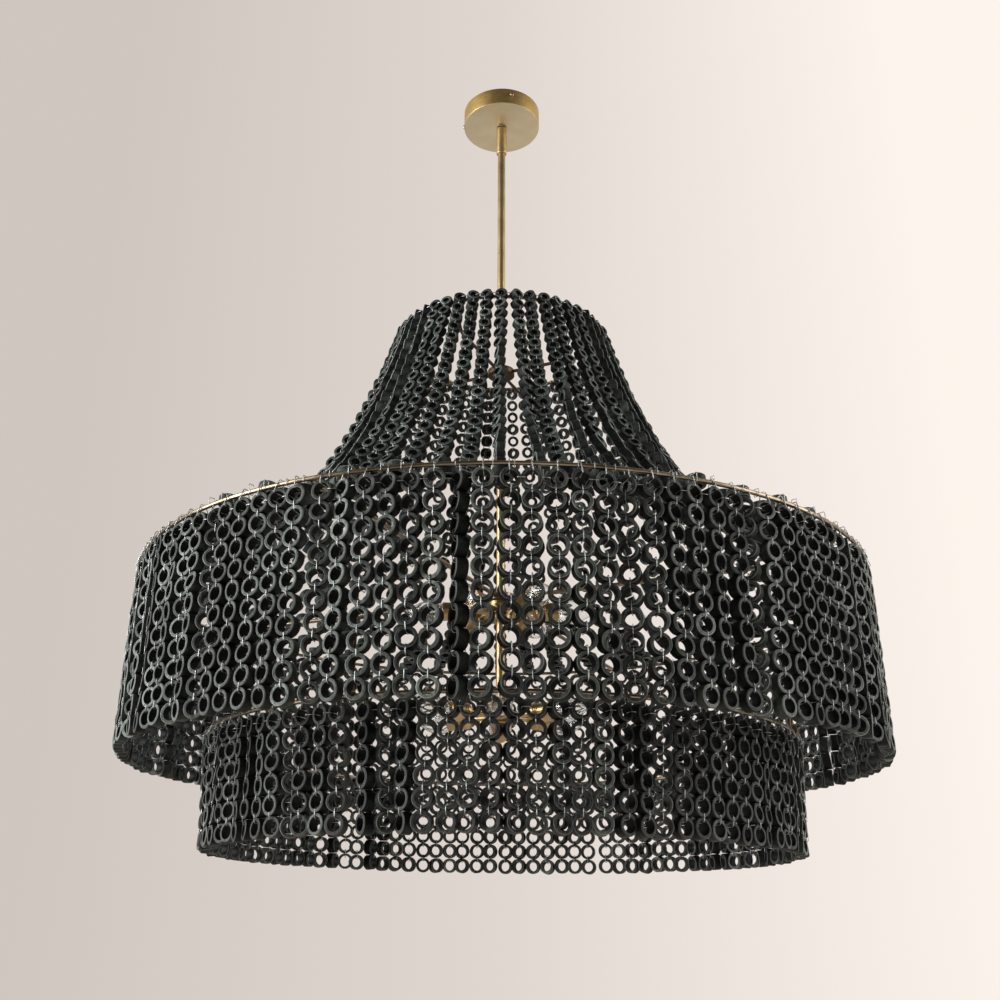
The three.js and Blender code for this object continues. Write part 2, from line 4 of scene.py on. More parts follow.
import bmesh
import bpy
import numpy as np
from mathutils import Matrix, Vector


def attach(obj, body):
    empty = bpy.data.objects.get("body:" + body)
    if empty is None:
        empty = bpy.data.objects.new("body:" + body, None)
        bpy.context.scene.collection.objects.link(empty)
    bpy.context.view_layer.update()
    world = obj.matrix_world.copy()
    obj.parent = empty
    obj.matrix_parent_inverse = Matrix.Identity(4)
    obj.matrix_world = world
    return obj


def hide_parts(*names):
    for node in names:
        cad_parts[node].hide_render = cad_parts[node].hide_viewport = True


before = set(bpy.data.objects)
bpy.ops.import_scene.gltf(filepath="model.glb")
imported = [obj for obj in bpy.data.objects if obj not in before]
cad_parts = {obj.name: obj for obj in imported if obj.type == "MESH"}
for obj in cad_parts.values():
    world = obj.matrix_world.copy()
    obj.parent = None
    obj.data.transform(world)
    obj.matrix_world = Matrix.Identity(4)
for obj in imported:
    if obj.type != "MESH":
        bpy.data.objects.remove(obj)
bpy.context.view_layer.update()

# Layout: four quadrants between the spokes
SEED = 20
RNG = np.random.default_rng(SEED)
UP = np.array([0, 0, 1.0])
FULL_TURN = 2 * math.pi
FRONT = math.radians(-90)
QUADRANTS = 4
QUADRANT = FULL_TURN / QUADRANTS
FIRST_SPOKE = math.radians(-24)
SEAT_GAP = 0.0003

# Rings and spiders
RING_ROD = 0.0025
CROWN_RING, CROWN_RING_Z = 0.144, -0.436
UPPER_RING, UPPER_RING_Z = 0.483, -0.833
LOWER_RING, LOWER_RING_Z = 0.380, -1.0395
RINGS = {"crown_ring": (CROWN_RING, CROWN_RING_Z, "dark_brass"),
         "upper_ring": (UPPER_RING, UPPER_RING_Z, "ring_brass"),
         "lower_ring": (LOWER_RING, LOWER_RING_Z, "ring_brass")}
CROWN_HUB_Z = -0.482
HUB_RADIUS, HUB_HEIGHT, HUB_EDGE = 0.020, 0.010, 0.0012
ROOT_DEPTH = 0.003
SPOKE_ROD = 0.003
CROWN_ARM_ROD, CROWN_ARM_BEND, CROWN_ARM_BEND_START = 0.0025, 0.014, 0.15
HANGER_ROD = 0.002

# Ceiling end and stem
CANOPY_RADIUS, CANOPY_DEPTH, CANOPY_WALL = 0.0615, 0.0285, 0.0012
CANOPY_HOLE, CANOPY_EDGE, CANOPY_RIM = 0.0064, 0.0007, 0.0003
COLLAR_RADIUS, COLLAR_TOP, COLLAR_LENGTH = 0.0082, -0.031, 0.050
COLLAR_BORE, COLLAR_STEP_Z, COLLAR_EDGE = 0.0051, -0.0428, 0.0008
STEM_RADIUS, STEM_WALL, STEM_BEVEL = 0.006, 0.001, 0.0004
STEM_TOP_Z, STEM_JOINT_Z, STEM_BOTTOM_Z = -0.0431, -0.273, -1.0083
STEM_BORE = STEM_RADIUS - STEM_WALL
ON_STEM = STEM_RADIUS + SEAT_GAP
SCREWS, FIRST_SCREW, SCREW_Z = 3, math.radians(-75), -0.012
SCREW_HEAD, SCREW_HEAD_HEIGHT, SCREW_HEAD_EDGE = 0.0032, 0.004, 0.001
SCREW_HEAD_BAND, SCREW_BEVEL = 0.0028, 0.0003
SCREW_SHANK, SCREW_SHANK_LENGTH = 0.0015, 0.008
SCREW_DIMPLE_TOP, SCREW_DIMPLE_FLOOR, SCREW_DIMPLE_DEPTH = 0.0012, 0.001, 0.0008
FINIAL_RADIUS, FINIAL_NECK, FINIAL_NECK_HEIGHT = 0.0109, 0.007, 0.004

# How finely the pieces are cut, in sides and steps round, and how sharp an edge stays sharp, in degrees
CANOPY_SIDES, HUB_SIDES, STEM_SIDES, FINIAL_SIDES, CAP_SIDES = 96, 56, 40, 44, 28
ARM_SIDES, GLASS_SIDES, GLASS_STEM_SIDES, LEAD_SIDES = 20, 36, 16, 6
RING_SIDES, SPOKE_SIDES, HANGER_SIDES, EYE_SIDES = 14, 16, 12, 10
TIER_BEAD_SIDES, CROWN_BEAD_SIDES, LINK_SIDES, HOOK_SIDES = 18, 16, 4, 6
RING_STEPS, EYE_STEPS, CORNER_STEPS = 160, 28, 4
CROWN_ARM_BEND_POINTS, STAGE_BEND_POINTS, FINIAL_POINTS = 8, 14, 18
TURNED_SHADE_ANGLE, ROD_SHADE_ANGLE, BEAD_SHADE_ANGLE = 38, 50, 30
WELD_DISTANCE, NEARLY_UPRIGHT = 1e-6, 1e-3

# Beads: outer radius, bore radius and length
UPPER_BEAD = {"outer": 0.0115, "bore": 0.0076, "length": 0.0134}
LOWER_BEAD = {"outer": 0.0112, "bore": 0.0074, "length": 0.0132}
CROWN_BEAD_TOP = {"outer": 0.0085, "bore": 0.0044, "length": 0.0106}
CROWN_BEAD_FOOT = {"outer": 0.0108, "bore": 0.0062, "length": 0.0118}
BEAD_CHAMFER, BORE_CHAMFER = 0.0009, 0.0006
OUT_OF_ROUND_SHARE = 0.02

# Wires
WIRE, HOOK_WIRE, TIE_WIRE = 0.0005, 0.00055, 0.0004
LINK_STANDOFF, LINK_SLACK, LINK_SPREAD = 0.0006, 0.0017, 0.0004
CROWN_LINK_SLACK = 0.0006
HOOK_DROP, HOOK_RISE, HOOK_HALF, HOOK_TILT_SPREAD = 0.0025, 0.0022, 0.0076, 0.1
CROWN_HOOK_HALF, CROWN_HOOK_BORE_SHARE = 0.0034, 0.2
TIE_PLACE_SHARE, TIE_SINK = 0.96, 0.003

# Curtains: columns in each quadrant, rows of beads, how far the hem flares, and the beads' middle tone. The
# lower curtain's darker middle tone is painted shade, for the shade below the upper tier.
UPPER = {"name": "upper", "radius": UPPER_RING, "ring_z": UPPER_RING_Z, "columns": 31, "rows": 10,
         "flare": 0.004, "pitch": 0.0232, "bead": UPPER_BEAD, "tone": 0.45}
# Painted shade: the lower curtain's middle tone is set well below the upper's.
LOWER = {"name": "lower", "radius": LOWER_RING, "ring_z": LOWER_RING_Z, "columns": 26, "rows": 6,
         "flare": -0.005, "pitch": 0.0226, "bead": LOWER_BEAD, "tone": 0.17}
CURTAIN_SIDE_GAP = 0.0038
CURTAIN_HALF = 0.0059

# How unevenly the curtains hang. The size shares are for a bead's outer radius, bore and length.
TURN_SPREAD_SHARE, PITCH_SPREAD_SHARE = 0.02, 0.003
COLUMN_LIFT, SWAY_SPREAD, BEAD_SHIFT_SPREAD, DEPTH_WANDER = 0.0016, 0.0012, 0.0003, 0.0011
YAW_SPREAD, YAW_WANDER, WANDER_KEEP_SHARE = math.radians(11), math.radians(9), 0.8
EDGE_ON_SHARE, EDGE_ON_YAWS = 0.09, (0.5, 1.1)
LEAN, LEAN_SPREAD = math.radians(1.5), math.radians(3)
SIZE_SPREAD_SHARES = (0.01, 0.025, 0.06)
COLUMN_TONE_SPREAD, BEAD_TONE_SPREAD = 0.22, 0.17

# Crown drape: a hanging chain from the crown ring to the upper ring
CROWN_STRANDS = 13
CROWN_PITCH_SHARE = 2.2
DRAPE_TOP, DRAPE_TOP_Z = 0.153, -0.432
DRAPE_FOOT, DRAPE_FOOT_Z = 0.483, -0.8242
DRAPE_SAG, DRAPE_POINTS, DRAPE_STEP = 0.156, 1200, 1e-4
FOOT_MARGIN, FOOT_RADIUS, FOOT_Z, FOOT_LOW_Z = 0.0138, 0.4692, -0.8285, -0.838
FOOT_RAISED_SHARE, FOOT_SPREAD = 0.65, 0.0013
FRONT_SPREAD_TOP, FRONT_SPREAD_FOOT = 0.035, -0.035

# How unevenly the crown hangs
SLACK, SLACK_SPREAD = -0.001, 0.0015
CROWN_LEAN_SPREAD, CROWN_BOW_SPREAD = 0.010, 0.0025
CROWN_YAW_SCALE, CROWN_YAW_WANDER = 1.7, math.radians(12)
CROWN_EDGE_ON_SHARE, CROWN_EDGE_ON_YAWS = 0.06, (0.9, 1.5)
TWIST_SHARE, TWIST_TURNS, TWIST_BEADS = 0.4, (0.6, 1.7), (5, 11)
TWIST_FIRST_BEAD, TWIST_LAST_START_SHARE = -2, 0.6
CALM_LENGTH = 0.09
CROWN_SIZE_SPREAD_SHARE = 0.012
CROWN_TONE, CROWN_TONE_SPREAD, CROWN_FOOT_TONE, LAST_BEAD_TONE = 0.36, 0.2, 0.16, 0.35

# Lamps
LAMPS = 6
LAMP_TIERS = {  # the cluster's top and height, the lamps' height, the first lamp's turn
    "upper": (-0.8383, 0.028, -0.852, 0),
    "lower": (-0.986, 0.022, -0.997, math.pi / LAMPS)}
CLUSTER_RADIUS, CLUSTER_EDGE, CLUSTER_GROOVE, CLUSTER_BAND_HALF = 0.017, 0.0016, 0.0011, 0.0065
SOCKET_START, SOCKET_LENGTH = 0.045, 0.035
SOCKET_MOUTH = SOCKET_START + SOCKET_LENGTH

# Outlines of lamp pieces as (radius, distance), from the place that the name gives
ARM_FROM_DRUM = ((0, 0), (0.004, 0), (0.004, 0.004), (0.0062, 0.0042), (0.0062, 0.0062), (0.0034, 0.0066))
ARM_BACK_FROM_SOCKET = ((0.0034, 0.004), (0.004, 0.0035), (0.004, 0), (0, 0))
SOCKET_FROM_START = ((0, 0), (0.0075, 0), (0.0085, 0.0008), (0.0088, 0.0022), (0.0118, 0.0043),
                     (0.0128, 0.0058))
SOCKET_GROOVE = ((0.0128, 0), (0.0122, 0.0006), (0.0122, 0.0012), (0.0128, 0.0018))
SOCKET_GROOVE_STARTS = (0.010, 0.0125, 0.015)
SOCKET_BACK_FROM_MOUTH = ((0.0128, 0.0022), (0.013, 0.0018), (0.013, 0.0004), (0.0126, 0), (0.0105, 0),
                          (0.0103, 0.006), (0.0068, 0.0064))
SOCKET_FLOOR = ((0.0068, 0.0044), (0, 0.0044))
CAP_TIP_BACK = ((0, 0.0235), (0.0022, 0.0235), (0.0026, 0.0215), (0.0050, 0.0195))
CAP_THREAD = ((0.0056, 0), (0.0060, 0.0006), (0.0056, 0.0012))
CAP_THREADS, CAP_THREAD_START_BACK, CAP_THREAD_PITCH = 8, 0.018, 0.0018
CAP_TOP_BACK = ((0.0056, 0.0015), (0.0050, 0.0008), (0, 0.0008))
GLASS_FOOT_BACK = 0.0007
GLASS_STEM = ((0, 0), (0.0036, 0), (0.0022, 0.006), (0.0016, 0.013), (0.0019, 0.0145), (0, 0.0155))
LEAD = ((0.0012, 0), (0.0016, 0.012), (0.0042, 0.022))
LEAD_ROD, FILAMENT_ROD = 0.00022, 0.00016
FILAMENT_BENDS, FILAMENT_DEPTH, FILAMENT_RISE = 8, 0.0012, 0.009

# A candle bulb's glass: a neck that eases off and a belly that swells
BULB_POINTS, BULB_SINK, BULB_REACH, BULB_WALL = 26, 0.001, 0.0525, 0.0007
BULB_NECK, BULB_NECK_EASE_SHARE = 0.0058, 0.7
BULB_BELLY, BULB_BELLY_PLACE_SHARE, BULB_FULLNESS_SHARE, BULB_TAPER_SHARE = 0.0124, 0.72, 0.9, 0.12

# Camera
PHOTO = 1000
FOCAL_PIXELS = 1127.3
CENTRE_PIXEL = 470.2
CAMERA_DISTANCE, CAMERA_Z = 1.5138, -1.2714
CAMERA_PITCH, CAMERA_ROLL, CAMERA_YAW = math.radians(21.14), math.radians(-0.673), math.radians(1.41)
SENSOR = 36.0
CLIP_END = 100

# Stage and light
PALE = (0.735, 0.670, 0.620)
# The backdrop's tones run darker at the left and paler at the right, as painted light across it
STAGE_PAINTED_LIGHT_TONES = ((0.0, (0.625, 0.566, 0.522)), (0.42, PALE), (0.9, (0.985, 0.905, 0.845)))
STAGE_LEFT, STAGE_RIGHT = -2.0, 2.6
STAGE_HALF, STAGE_BACK, STAGE_FLOOR_Z, STAGE_TOP_Z = 9.0, 3.4, -2.35, 7.0
STAGE_BEND, STAGE_BEND_START = 1.2, 0.1
STAGE_ROUGHNESS = 0.9
WORLD_COLOR, WORLD_STRENGTH = (0.86, 0.84, 0.82), 0.17
LIGHTS = {  # place, target, width and height, power, colour
    "right_side": ((2.4, -0.5, -0.3), (0, 0, -0.8), (1.4, 2.2), 58, (1, 0.985, 0.96)),
    "left_side": ((-2.4, -0.7, -0.5), (0, 0, -0.8), (1.4, 2.2), 128, (1, 1, 1)),
    "front_low": ((0.2, -2.6, -1.9), (0, 0, -0.9), (1.6, 1.2), 3, (1, 1, 1))}

# Materials
BRASS = {  # dark and light tone, least and most roughness
    "screw_brass": ((0.44, 0.35, 0.22), (0.62, 0.52, 0.36), 0.24, 0.34),
    "stem_brass": ((0.38, 0.27, 0.13), (0.55, 0.41, 0.22), 0.36, 0.48),
    "ring_brass": ((0.13, 0.102, 0.066), (0.30, 0.245, 0.172), 0.24, 0.38),
    "dark_brass": ((0.085, 0.055, 0.032), (0.15, 0.10, 0.06), 0.34, 0.5),
    "lamp_brass": ((0.26, 0.18, 0.08), (0.44, 0.32, 0.16), 0.26, 0.4)}
# Bead tones for the outsides and the sawn faces, and the paler colour of the painted highlight on the
# chamfers
TIER_WOOD = {"side": ((0.007, 0.0078, 0.0070), (0.027, 0.029, 0.026)),
             "face": ((0.022, 0.025, 0.0235), (0.100, 0.107, 0.102)), "rim": (0.18, 0.19, 0.18)}
CROWN_WOOD = {"side": ((0.008, 0.0095, 0.0090), (0.036, 0.040, 0.038)),
              "face": ((0.020, 0.023, 0.022), (0.074, 0.082, 0.078)), "rim": (0.23, 0.25, 0.24)}
# Dusty bloom on the wood, and the near-black painted shade inside the bores
WOOD_BLOOM, PAINTED_BORE_SHADE = (0.088, 0.096, 0.086), (0.013, 0.0145, 0.0133)
WOOD_TONES = ((0.0, (0.5, 0.5, 0.49)), (0.5, (0.95, 0.97, 0.93)), (1.0, (2.2, 2.3, 2.2)))


def make_camera():
    data = bpy.data.cameras.new("camera")
    camera = bpy.data.objects.new("camera", data)
    data.sensor_width = SENSOR
    data.lens = FOCAL_PIXELS / PHOTO * SENSOR
    data.shift_x = (PHOTO / 2 - CENTRE_PIXEL) / PHOTO
    data.clip_end = CLIP_END
    camera.location = (0, -CAMERA_DISTANCE, CAMERA_Z)
    camera.rotation_euler = (math.pi / 2 + CAMERA_PITCH, CAMERA_ROLL, CAMERA_YAW)
    bpy.context.scene.collection.objects.link(camera)
    bpy.context.scene.camera = camera


class Shading:
    """The node tree of a new material, or of a world."""

    # Where a colour mix node keeps its factor and its two colours, and its colour output
    MIX_SOCKETS, MIX_OUTPUT = (0, 6, 7), 2

    def __init__(self, owner):
        owner.use_nodes = True
        self.owner = owner
        self.tree = owner.node_tree

    def put(self, node, inputs):
        """Links an output to an input of a node, or gives it a number, a vector or a colour."""
        for name, value in inputs.items():
            socket = node.inputs[name]
            if hasattr(value, "links"):
                self.tree.links.new(value, socket)
            elif isinstance(value, (int, float)):
                socket.default_value = value
            else:
                socket.default_value = (*value, 1.0) if len(socket.default_value) > len(value) else value

    def look(self, inputs, node="Principled BSDF"):
        self.put(self.tree.nodes[node], inputs)

    def add(self, kind, output, inputs=None, **settings):
        """One output of a new node."""
        node = self.tree.nodes.new("ShaderNode" + kind)
        for key, value in settings.items():
            setattr(node, key, value)
        self.put(node, inputs or {})
        return node.outputs[output]

    def noise(self, scale, detail, roughness, stretch=None):
        place = self.add("TexCoord", "Object")
        if stretch:
            place = self.add("Mapping", "Vector", {"Scale": stretch, "Vector": place})
        inputs = {"Vector": place, "Scale": scale, "Detail": detail, "Roughness": roughness}
        return self.add("TexNoise", "Fac", inputs)

    def ramp(self, source, *stops):
        """Colours along a ramp. A stop's colour may be one number, which is a grey."""
        color = self.add("ValToRGB", "Color", {"Fac": source})
        elements = color.node.color_ramp.elements
        while len(elements) < len(stops):
            elements.new(0.5)
        for element, (place, tone) in zip(elements, stops):
            element.position = place
            element.color = (*(tone if isinstance(tone, tuple) else (tone,) * 3), 1.0)
        return color

    def mix(self, factor, first, second, blend="MIX"):
        inputs = dict(zip(self.MIX_SOCKETS, (factor, first, second)))
        return self.add("Mix", self.MIX_OUTPUT, inputs, data_type="RGBA", blend_type=blend)

    def remap(self, source, low, high, to_low, to_high):
        inputs = {"Value": source, "From Min": low, "From Max": high, "To Min": to_low, "To Max": to_high}
        return self.add("MapRange", "Result", inputs)

    def bump(self, height, strength, distance):
        return self.add("Bump", "Normal", {"Height": height, "Strength": strength, "Distance": distance})

    def rays(self, first, *more):
        """1 for a ray of any of the kinds named, and otherwise 0."""
        share = self.add("LightPath", first)
        for kind in more:
            share = self.add("Math", 0, {0: share, 1: self.add("LightPath", kind)}, operation="MAXIMUM")
        return share

    def blend_surfaces(self, share, first, second, output):
        self.look({"Surface": self.add("MixShader", 0, {0: share, 1: first, 2: second})}, output)


def new_material(name):
    return Shading(bpy.data.materials.new(name))


def make_brass(name, dark, light, rough_low, rough_high):
    brass = new_material(name)
    cloud = brass.noise(22, 5, 0.6)
    brushed = brass.noise(30, 6, 0.7, stretch=(40, 40, 4))
    brass.look({"Base Color": brass.ramp(cloud, (0.32, dark), (0.68, light)),
                "Roughness": brass.remap(brushed, 0.3, 0.7, rough_low, rough_high),
                "Normal": brass.bump(brushed, strength=0.12, distance=0.0004), "Metallic": 1.0})
    return brass.owner


# The canopy's brass: a streaked side band, and an underside painted paler where the normal points down, which
# is painted light for the brighter light the underside catches.
def make_canopy_brass():
    brass = new_material("canopy_brass")
    normal_z = brass.add("SeparateXYZ", "Z", {"Vector": brass.add("NewGeometry", "Normal")})
    # Painted light: where the normal points down, the underside gets a paler brass colour than the side band.
    painted_light_underside = brass.remap(normal_z, -0.55, -0.9, 0, 1)
    streaks = brass.noise(26, 6, 0.65, stretch=(2.5, 2.5, 40))
    cloud = brass.noise(30, 5, 0.6)
    band = brass.ramp(streaks, (0.3, (0.30, 0.195, 0.06)), (0.7, (0.60, 0.42, 0.165)))
    face = brass.ramp(cloud, (0.3, (0.58, 0.50, 0.33)), (0.7, (0.68, 0.60, 0.42)))
    brass.look({"Base Color": brass.mix(painted_light_underside, band, face),
                "Roughness": brass.remap(cloud, 0.3, 0.7, 0.44, 0.54),
                "Normal": brass.bump(streaks, strength=0.1, distance=0.0003), "Metallic": 1.0})
    return brass.owner


# Plain metal: a cloud of two tones and of roughness, and a bump where it has one.
def make_metal(name, cloud, stops, roughness, metallic=1.0, bump=None):
    metal = new_material(name)
    cloud = metal.noise(*cloud)
    metal.look({"Base Color": metal.ramp(cloud, *stops), "Metallic": metallic,
                "Roughness": metal.remap(cloud, 0.3, 0.7, *roughness)})
    if bump:
        metal.look({"Normal": metal.bump(cloud, *bump)})
    return metal.owner


def make_steel():
    return make_metal("zinc_steel", (60, 4, 0.6), ((0.3, (0.42, 0.42, 0.40)), (0.7, (0.62, 0.62, 0.60))),
                      (0.32, 0.5), bump=(0.1, 0.0003))


def make_wire_material():
    return make_metal("tinned_wire", (300, 3, 0.5),
                      ((0.35, (0.20, 0.205, 0.20)), (0.65, (0.50, 0.51, 0.50))), (0.26, 0.42))


def make_filament_material():
    return make_metal("filament", (900, 2, 0.5), ((0.4, (0.30, 0.22, 0.13)), (0.6, (0.55, 0.42, 0.25))),
                      (0.4, 0.4), metallic=0.8)


def make_glass():
    glass = new_material("clear_glass")
    haze = glass.noise(120, 3, 0.5)
    glass.look({"Base Color": (0.97, 0.98, 0.98), "Transmission Weight": 1.0, "IOR": 1.45,
                "Roughness": glass.remap(haze, 0.4, 0.8, 0.01, 0.05)})
    return glass.owner


# Charcoal wood ring: tone varies from bead to bead, the sawn faces are paler and dusty, and the chamfered
# edges carry a painted highlight.
# The attribute bead_face is 1 on a sawn face, 0 outside and -1 in the bore.
def make_bead_material(name, tones):
    wood = new_material(name)
    tone, face = (wood.add("Attribute", "Fac", attribute_name=key) for key in ("bead_tone", "bead_face"))
    fine = wood.noise(420, 6, 0.68)
    cloud = wood.noise(70, 4, 0.6)
    grain = wood.noise(380, 5, 0.65, stretch=(1, 1, 0.3))
    side = wood.ramp(fine, *zip((0.30, 0.72), tones["side"]))
    ends = wood.ramp(grain, *zip((0.38, 0.63), tones["face"]))
    color = wood.mix(wood.remap(face, 0.6, 0.95, 0, 1), side, ends)
    # Painted highlight: a paler colour on the chamfers between the outside and the sawn faces.
    painted_rim_highlight = wood.ramp(face, (0.1, 0), (0.45, 1), (0.6, 1), (0.9, 0))
    color = wood.mix(painted_rim_highlight, color, tones["rim"])
    color = wood.mix(wood.remap(cloud, 0.5, 0.72, 0, 0.55), color, WOOD_BLOOM)
    color = wood.mix(1.0, color, wood.ramp(tone, *WOOD_TONES), "MULTIPLY")
    # Painted shade: inside the bore the colour turns near-black and the specular level drops.
    inside = wood.remap(face, -0.2, -0.7, 0, 1)
    sheen = wood.ramp(face, (0.0, 0.08), (0.5, 0.24), (1.0, 0.15))
    wood.look({"Base Color": wood.mix(inside, color, PAINTED_BORE_SHADE),
               "Specular IOR Level": wood.mix(inside, sheen, (0.05, 0.05, 0.05)),
               "Roughness": wood.remap(fine, 0.3, 0.7, 0.42, 0.68),
               "Normal": wood.bump(grain, strength=0.35, distance=0.0006)})
    return wood.owner


# Directions and places about the stem

def unit(vectors):
    return vectors / np.linalg.norm(vectors, axis=-1, keepdims=True)


def polar(radius, turn, height):
    """Points, or directions, from radii, turns about the stem and heights."""
    return np.stack([radius * np.cos(turn), radius * np.sin(turn), height + np.zeros_like(turn)], -1)


def outward(turn):
    return polar(1, turn, 0)


def sideways(turn):
    return np.cross(UP, outward(turn))


def spoke_turn(index):
    return FIRST_SPOKE + index * QUADRANT


def circle_turns(count):
    return np.arange(count) * FULL_TURN / count


# Mesh helpers

# Quads round a stack of circles. In a closed stack the last circle joins the first.
def circle_faces(circles, sides, closed):
    faces = []
    for circle in range(circles if closed else circles - 1):
        low, high = circle * sides, (circle + 1) % circles * sides
        for side in range(sides):
            ahead = (side + 1) % sides
            faces.append((low + side, low + ahead, high + ahead, high + side))
    return np.array(faces, np.int32)


# The faces of many like pieces, each a closed stack of circles.
def cloud_faces(count, circles, sides):
    first = np.arange(count) * circles * sides
    return (circle_faces(circles, sides, True)[None] + first[:, None, None]).reshape(-1, 4)


def link_piece(name, mesh, material):
    mesh.materials.append(material)
    piece = bpy.data.objects.new(name, mesh)
    bpy.context.scene.collection.objects.link(piece)
    return piece


def link_mesh(name, points, faces, material, attributes=None):
    mesh = bpy.data.meshes.new(name)
    mesh.vertices.add(len(points))
    mesh.vertices.foreach_set("co", np.asarray(points, np.float32).ravel())
    faces = np.asarray(faces, np.int32)
    count, sides = faces.shape
    mesh.loops.add(count * sides)
    mesh.loops.foreach_set("vertex_index", faces.ravel())
    mesh.polygons.add(count)
    mesh.polygons.foreach_set("loop_start", np.arange(0, count * sides, sides, dtype=np.int32))
    mesh.update(calc_edges=True)
    mesh.validate()
    for key, values in (attributes or {}).items():
        mesh.attributes.new(key, "FLOAT", "POINT").data.foreach_set("value", np.float32(values))
    mesh.polygons.foreach_set("use_smooth", np.ones(count, bool))
    return link_piece(name, mesh, material)


def join_pieces(name, pieces):
    with bpy.context.temp_override(active_object=pieces[0], selected_editable_objects=pieces,
                                   selected_objects=pieces, object=pieces[0]):
        bpy.ops.object.join()
    pieces[0].name = name
    pieces[0].data.name = name
    return pieces[0]


# Shades across gentle turns and keeps sharp edges sharp.
def shade_by_angle(piece, degrees):
    mesh = piece.data
    mesh.polygons.foreach_set("use_smooth", np.ones(len(mesh.polygons), bool))
    mesh.set_sharp_from_angle(angle=math.radians(degrees))


def weld(piece):
    work = bmesh.new()
    work.from_mesh(piece.data)
    bmesh.ops.remove_doubles(work, verts=work.verts, dist=WELD_DISTANCE)
    bmesh.ops.recalc_face_normals(work, faces=work.faces)
    work.to_mesh(piece.data)
    work.free()


# A turned piece about +Z from (radius, height) pairs. Ends on the axis close by themselves.
def turned(name, outline, material, sides, closed=False):
    outline = np.array(outline, float)
    turn = circle_turns(sides)
    points = np.stack([np.outer(outline[:, 0], np.cos(turn)), np.outer(outline[:, 0], np.sin(turn)),
                       np.repeat(outline[:, 1:], sides, 1)], -1).reshape(-1, 3)
    piece = link_mesh(name, points, circle_faces(len(outline), sides, closed), material)
    weld(piece)
    shade_by_angle(piece, TURNED_SHADE_ANGLE)
    return piece


# A round rod along a list of points, closed into a loop or capped at both ends.
def rod(name, path, radius, material, sides, closed=False):
    path = np.array(path, float)
    ahead = np.roll(path, -1, 0) - path
    if not closed:
        ahead[-1] = ahead[-2]
    behind = np.roll(ahead, 1, 0)
    if not closed:
        behind[0] = ahead[0]
    along = unit(unit(ahead) + unit(behind))
    side = np.cross(along[0], UP)
    if np.linalg.norm(side) < NEARLY_UPRIGHT:
        side = np.cross(along[0], (1, 0, 0))
    turn = circle_turns(sides)
    circles = []
    for spot, heading in zip(path, along):
        side = unit(side - heading * (side @ heading))
        up = np.cross(heading, side)
        circles.append(spot + radius * (np.outer(np.cos(turn), side) + np.outer(np.sin(turn), up)))
    points = np.concatenate(circles)
    faces = circle_faces(len(path), sides, closed).tolist()
    if not closed:
        start, end, last = len(points), len(points) + 1, (len(path) - 1) * sides
        points = np.vstack([points, path[0], path[-1]])
        faces += [(start, (i + 1) % sides, i) for i in range(sides)]
        faces += [(end, last + i, last + (i + 1) % sides) for i in range(sides)]
    mesh = bpy.data.meshes.new(name)
    mesh.from_pydata(points.tolist(), [], faces)
    piece = link_piece(name, mesh, material)
    weld(piece)
    shade_by_angle(piece, ROD_SHADE_ANGLE)
    return piece


# Outline points of a rounded corner about a centre, from one direction to another in degrees.
def rounded(radius, height, edge, start, end):
    turns = (math.radians(start + (end - start) * i / CORNER_STEPS) for i in range(CORNER_STEPS + 1))
    return [(radius + edge * math.cos(turn), height + edge * math.sin(turn)) for turn in turns]


# A quarter bend from level to upright, as (distance, height) pairs.
def bend(distance, height, radius, start, count):
    return [(distance + radius * math.sin(turn), height + radius * (1 - math.cos(turn)))
            for turn in np.linspace(start, math.pi / 2, count)]


# The outline of a sleeve on the stem up to its top's outer corner, with any points between the corners.
def sleeve_outline(radius, edge, bottom, top, between=()):
    return [(ON_STEM, bottom), *rounded(radius - edge, bottom + edge, edge, -90, 0), *between,
            *rounded(radius - edge, top - edge, edge, 0, 90)]


# An outline whose distances run from a start, ahead or back.
def placed(outline, start, way=1):
    return [(radius, start + way * distance) for radius, distance in outline]


def dress(piece, body, slot_name, *nodes):
    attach(piece, body)
    if nodes:
        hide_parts(*nodes)


# Lays a piece turned about +Z along +X, turns it about the stem and lifts it to a height.
def turn_to(piece, about_stem, height):
    mesh = piece.data
    points = np.empty(len(mesh.vertices) * 3, np.float32)
    mesh.vertices.foreach_get("co", points)
    x, y, z = points.reshape(-1, 3).T
    c, s = math.cos(about_stem), math.sin(about_stem)
    moved = np.stack([c * z - s * y, s * z + c * y, height - x], 1)
    mesh.vertices.foreach_set("co", moved.astype(np.float32).ravel())
    mesh.update()
    return piece


# Beads. Each is a sawn ring whose bore lies along local Y, with a fine chamfer round its edges. An entry
# is a circle of points: on the outside or the bore, at which end, how far in along the bead, how far off
# the edge across it, and which part it lies on: 1 is a sawn face, 0 the outside and -1 the bore.
BEAD_CIRCLES = (("outer", -1, BEAD_CHAMFER, 0, 0), ("outer", 1, BEAD_CHAMFER, 0, 0),
                ("outer", 1, 0, -BEAD_CHAMFER, 1), ("bore", 1, 0, BORE_CHAMFER, 1),
                ("bore", 1, BORE_CHAMFER, 0, -1), ("bore", -1, BORE_CHAMFER, 0, -1),
                ("bore", -1, 0, BORE_CHAMFER, 1), ("outer", -1, 0, -BEAD_CHAMFER, 1))


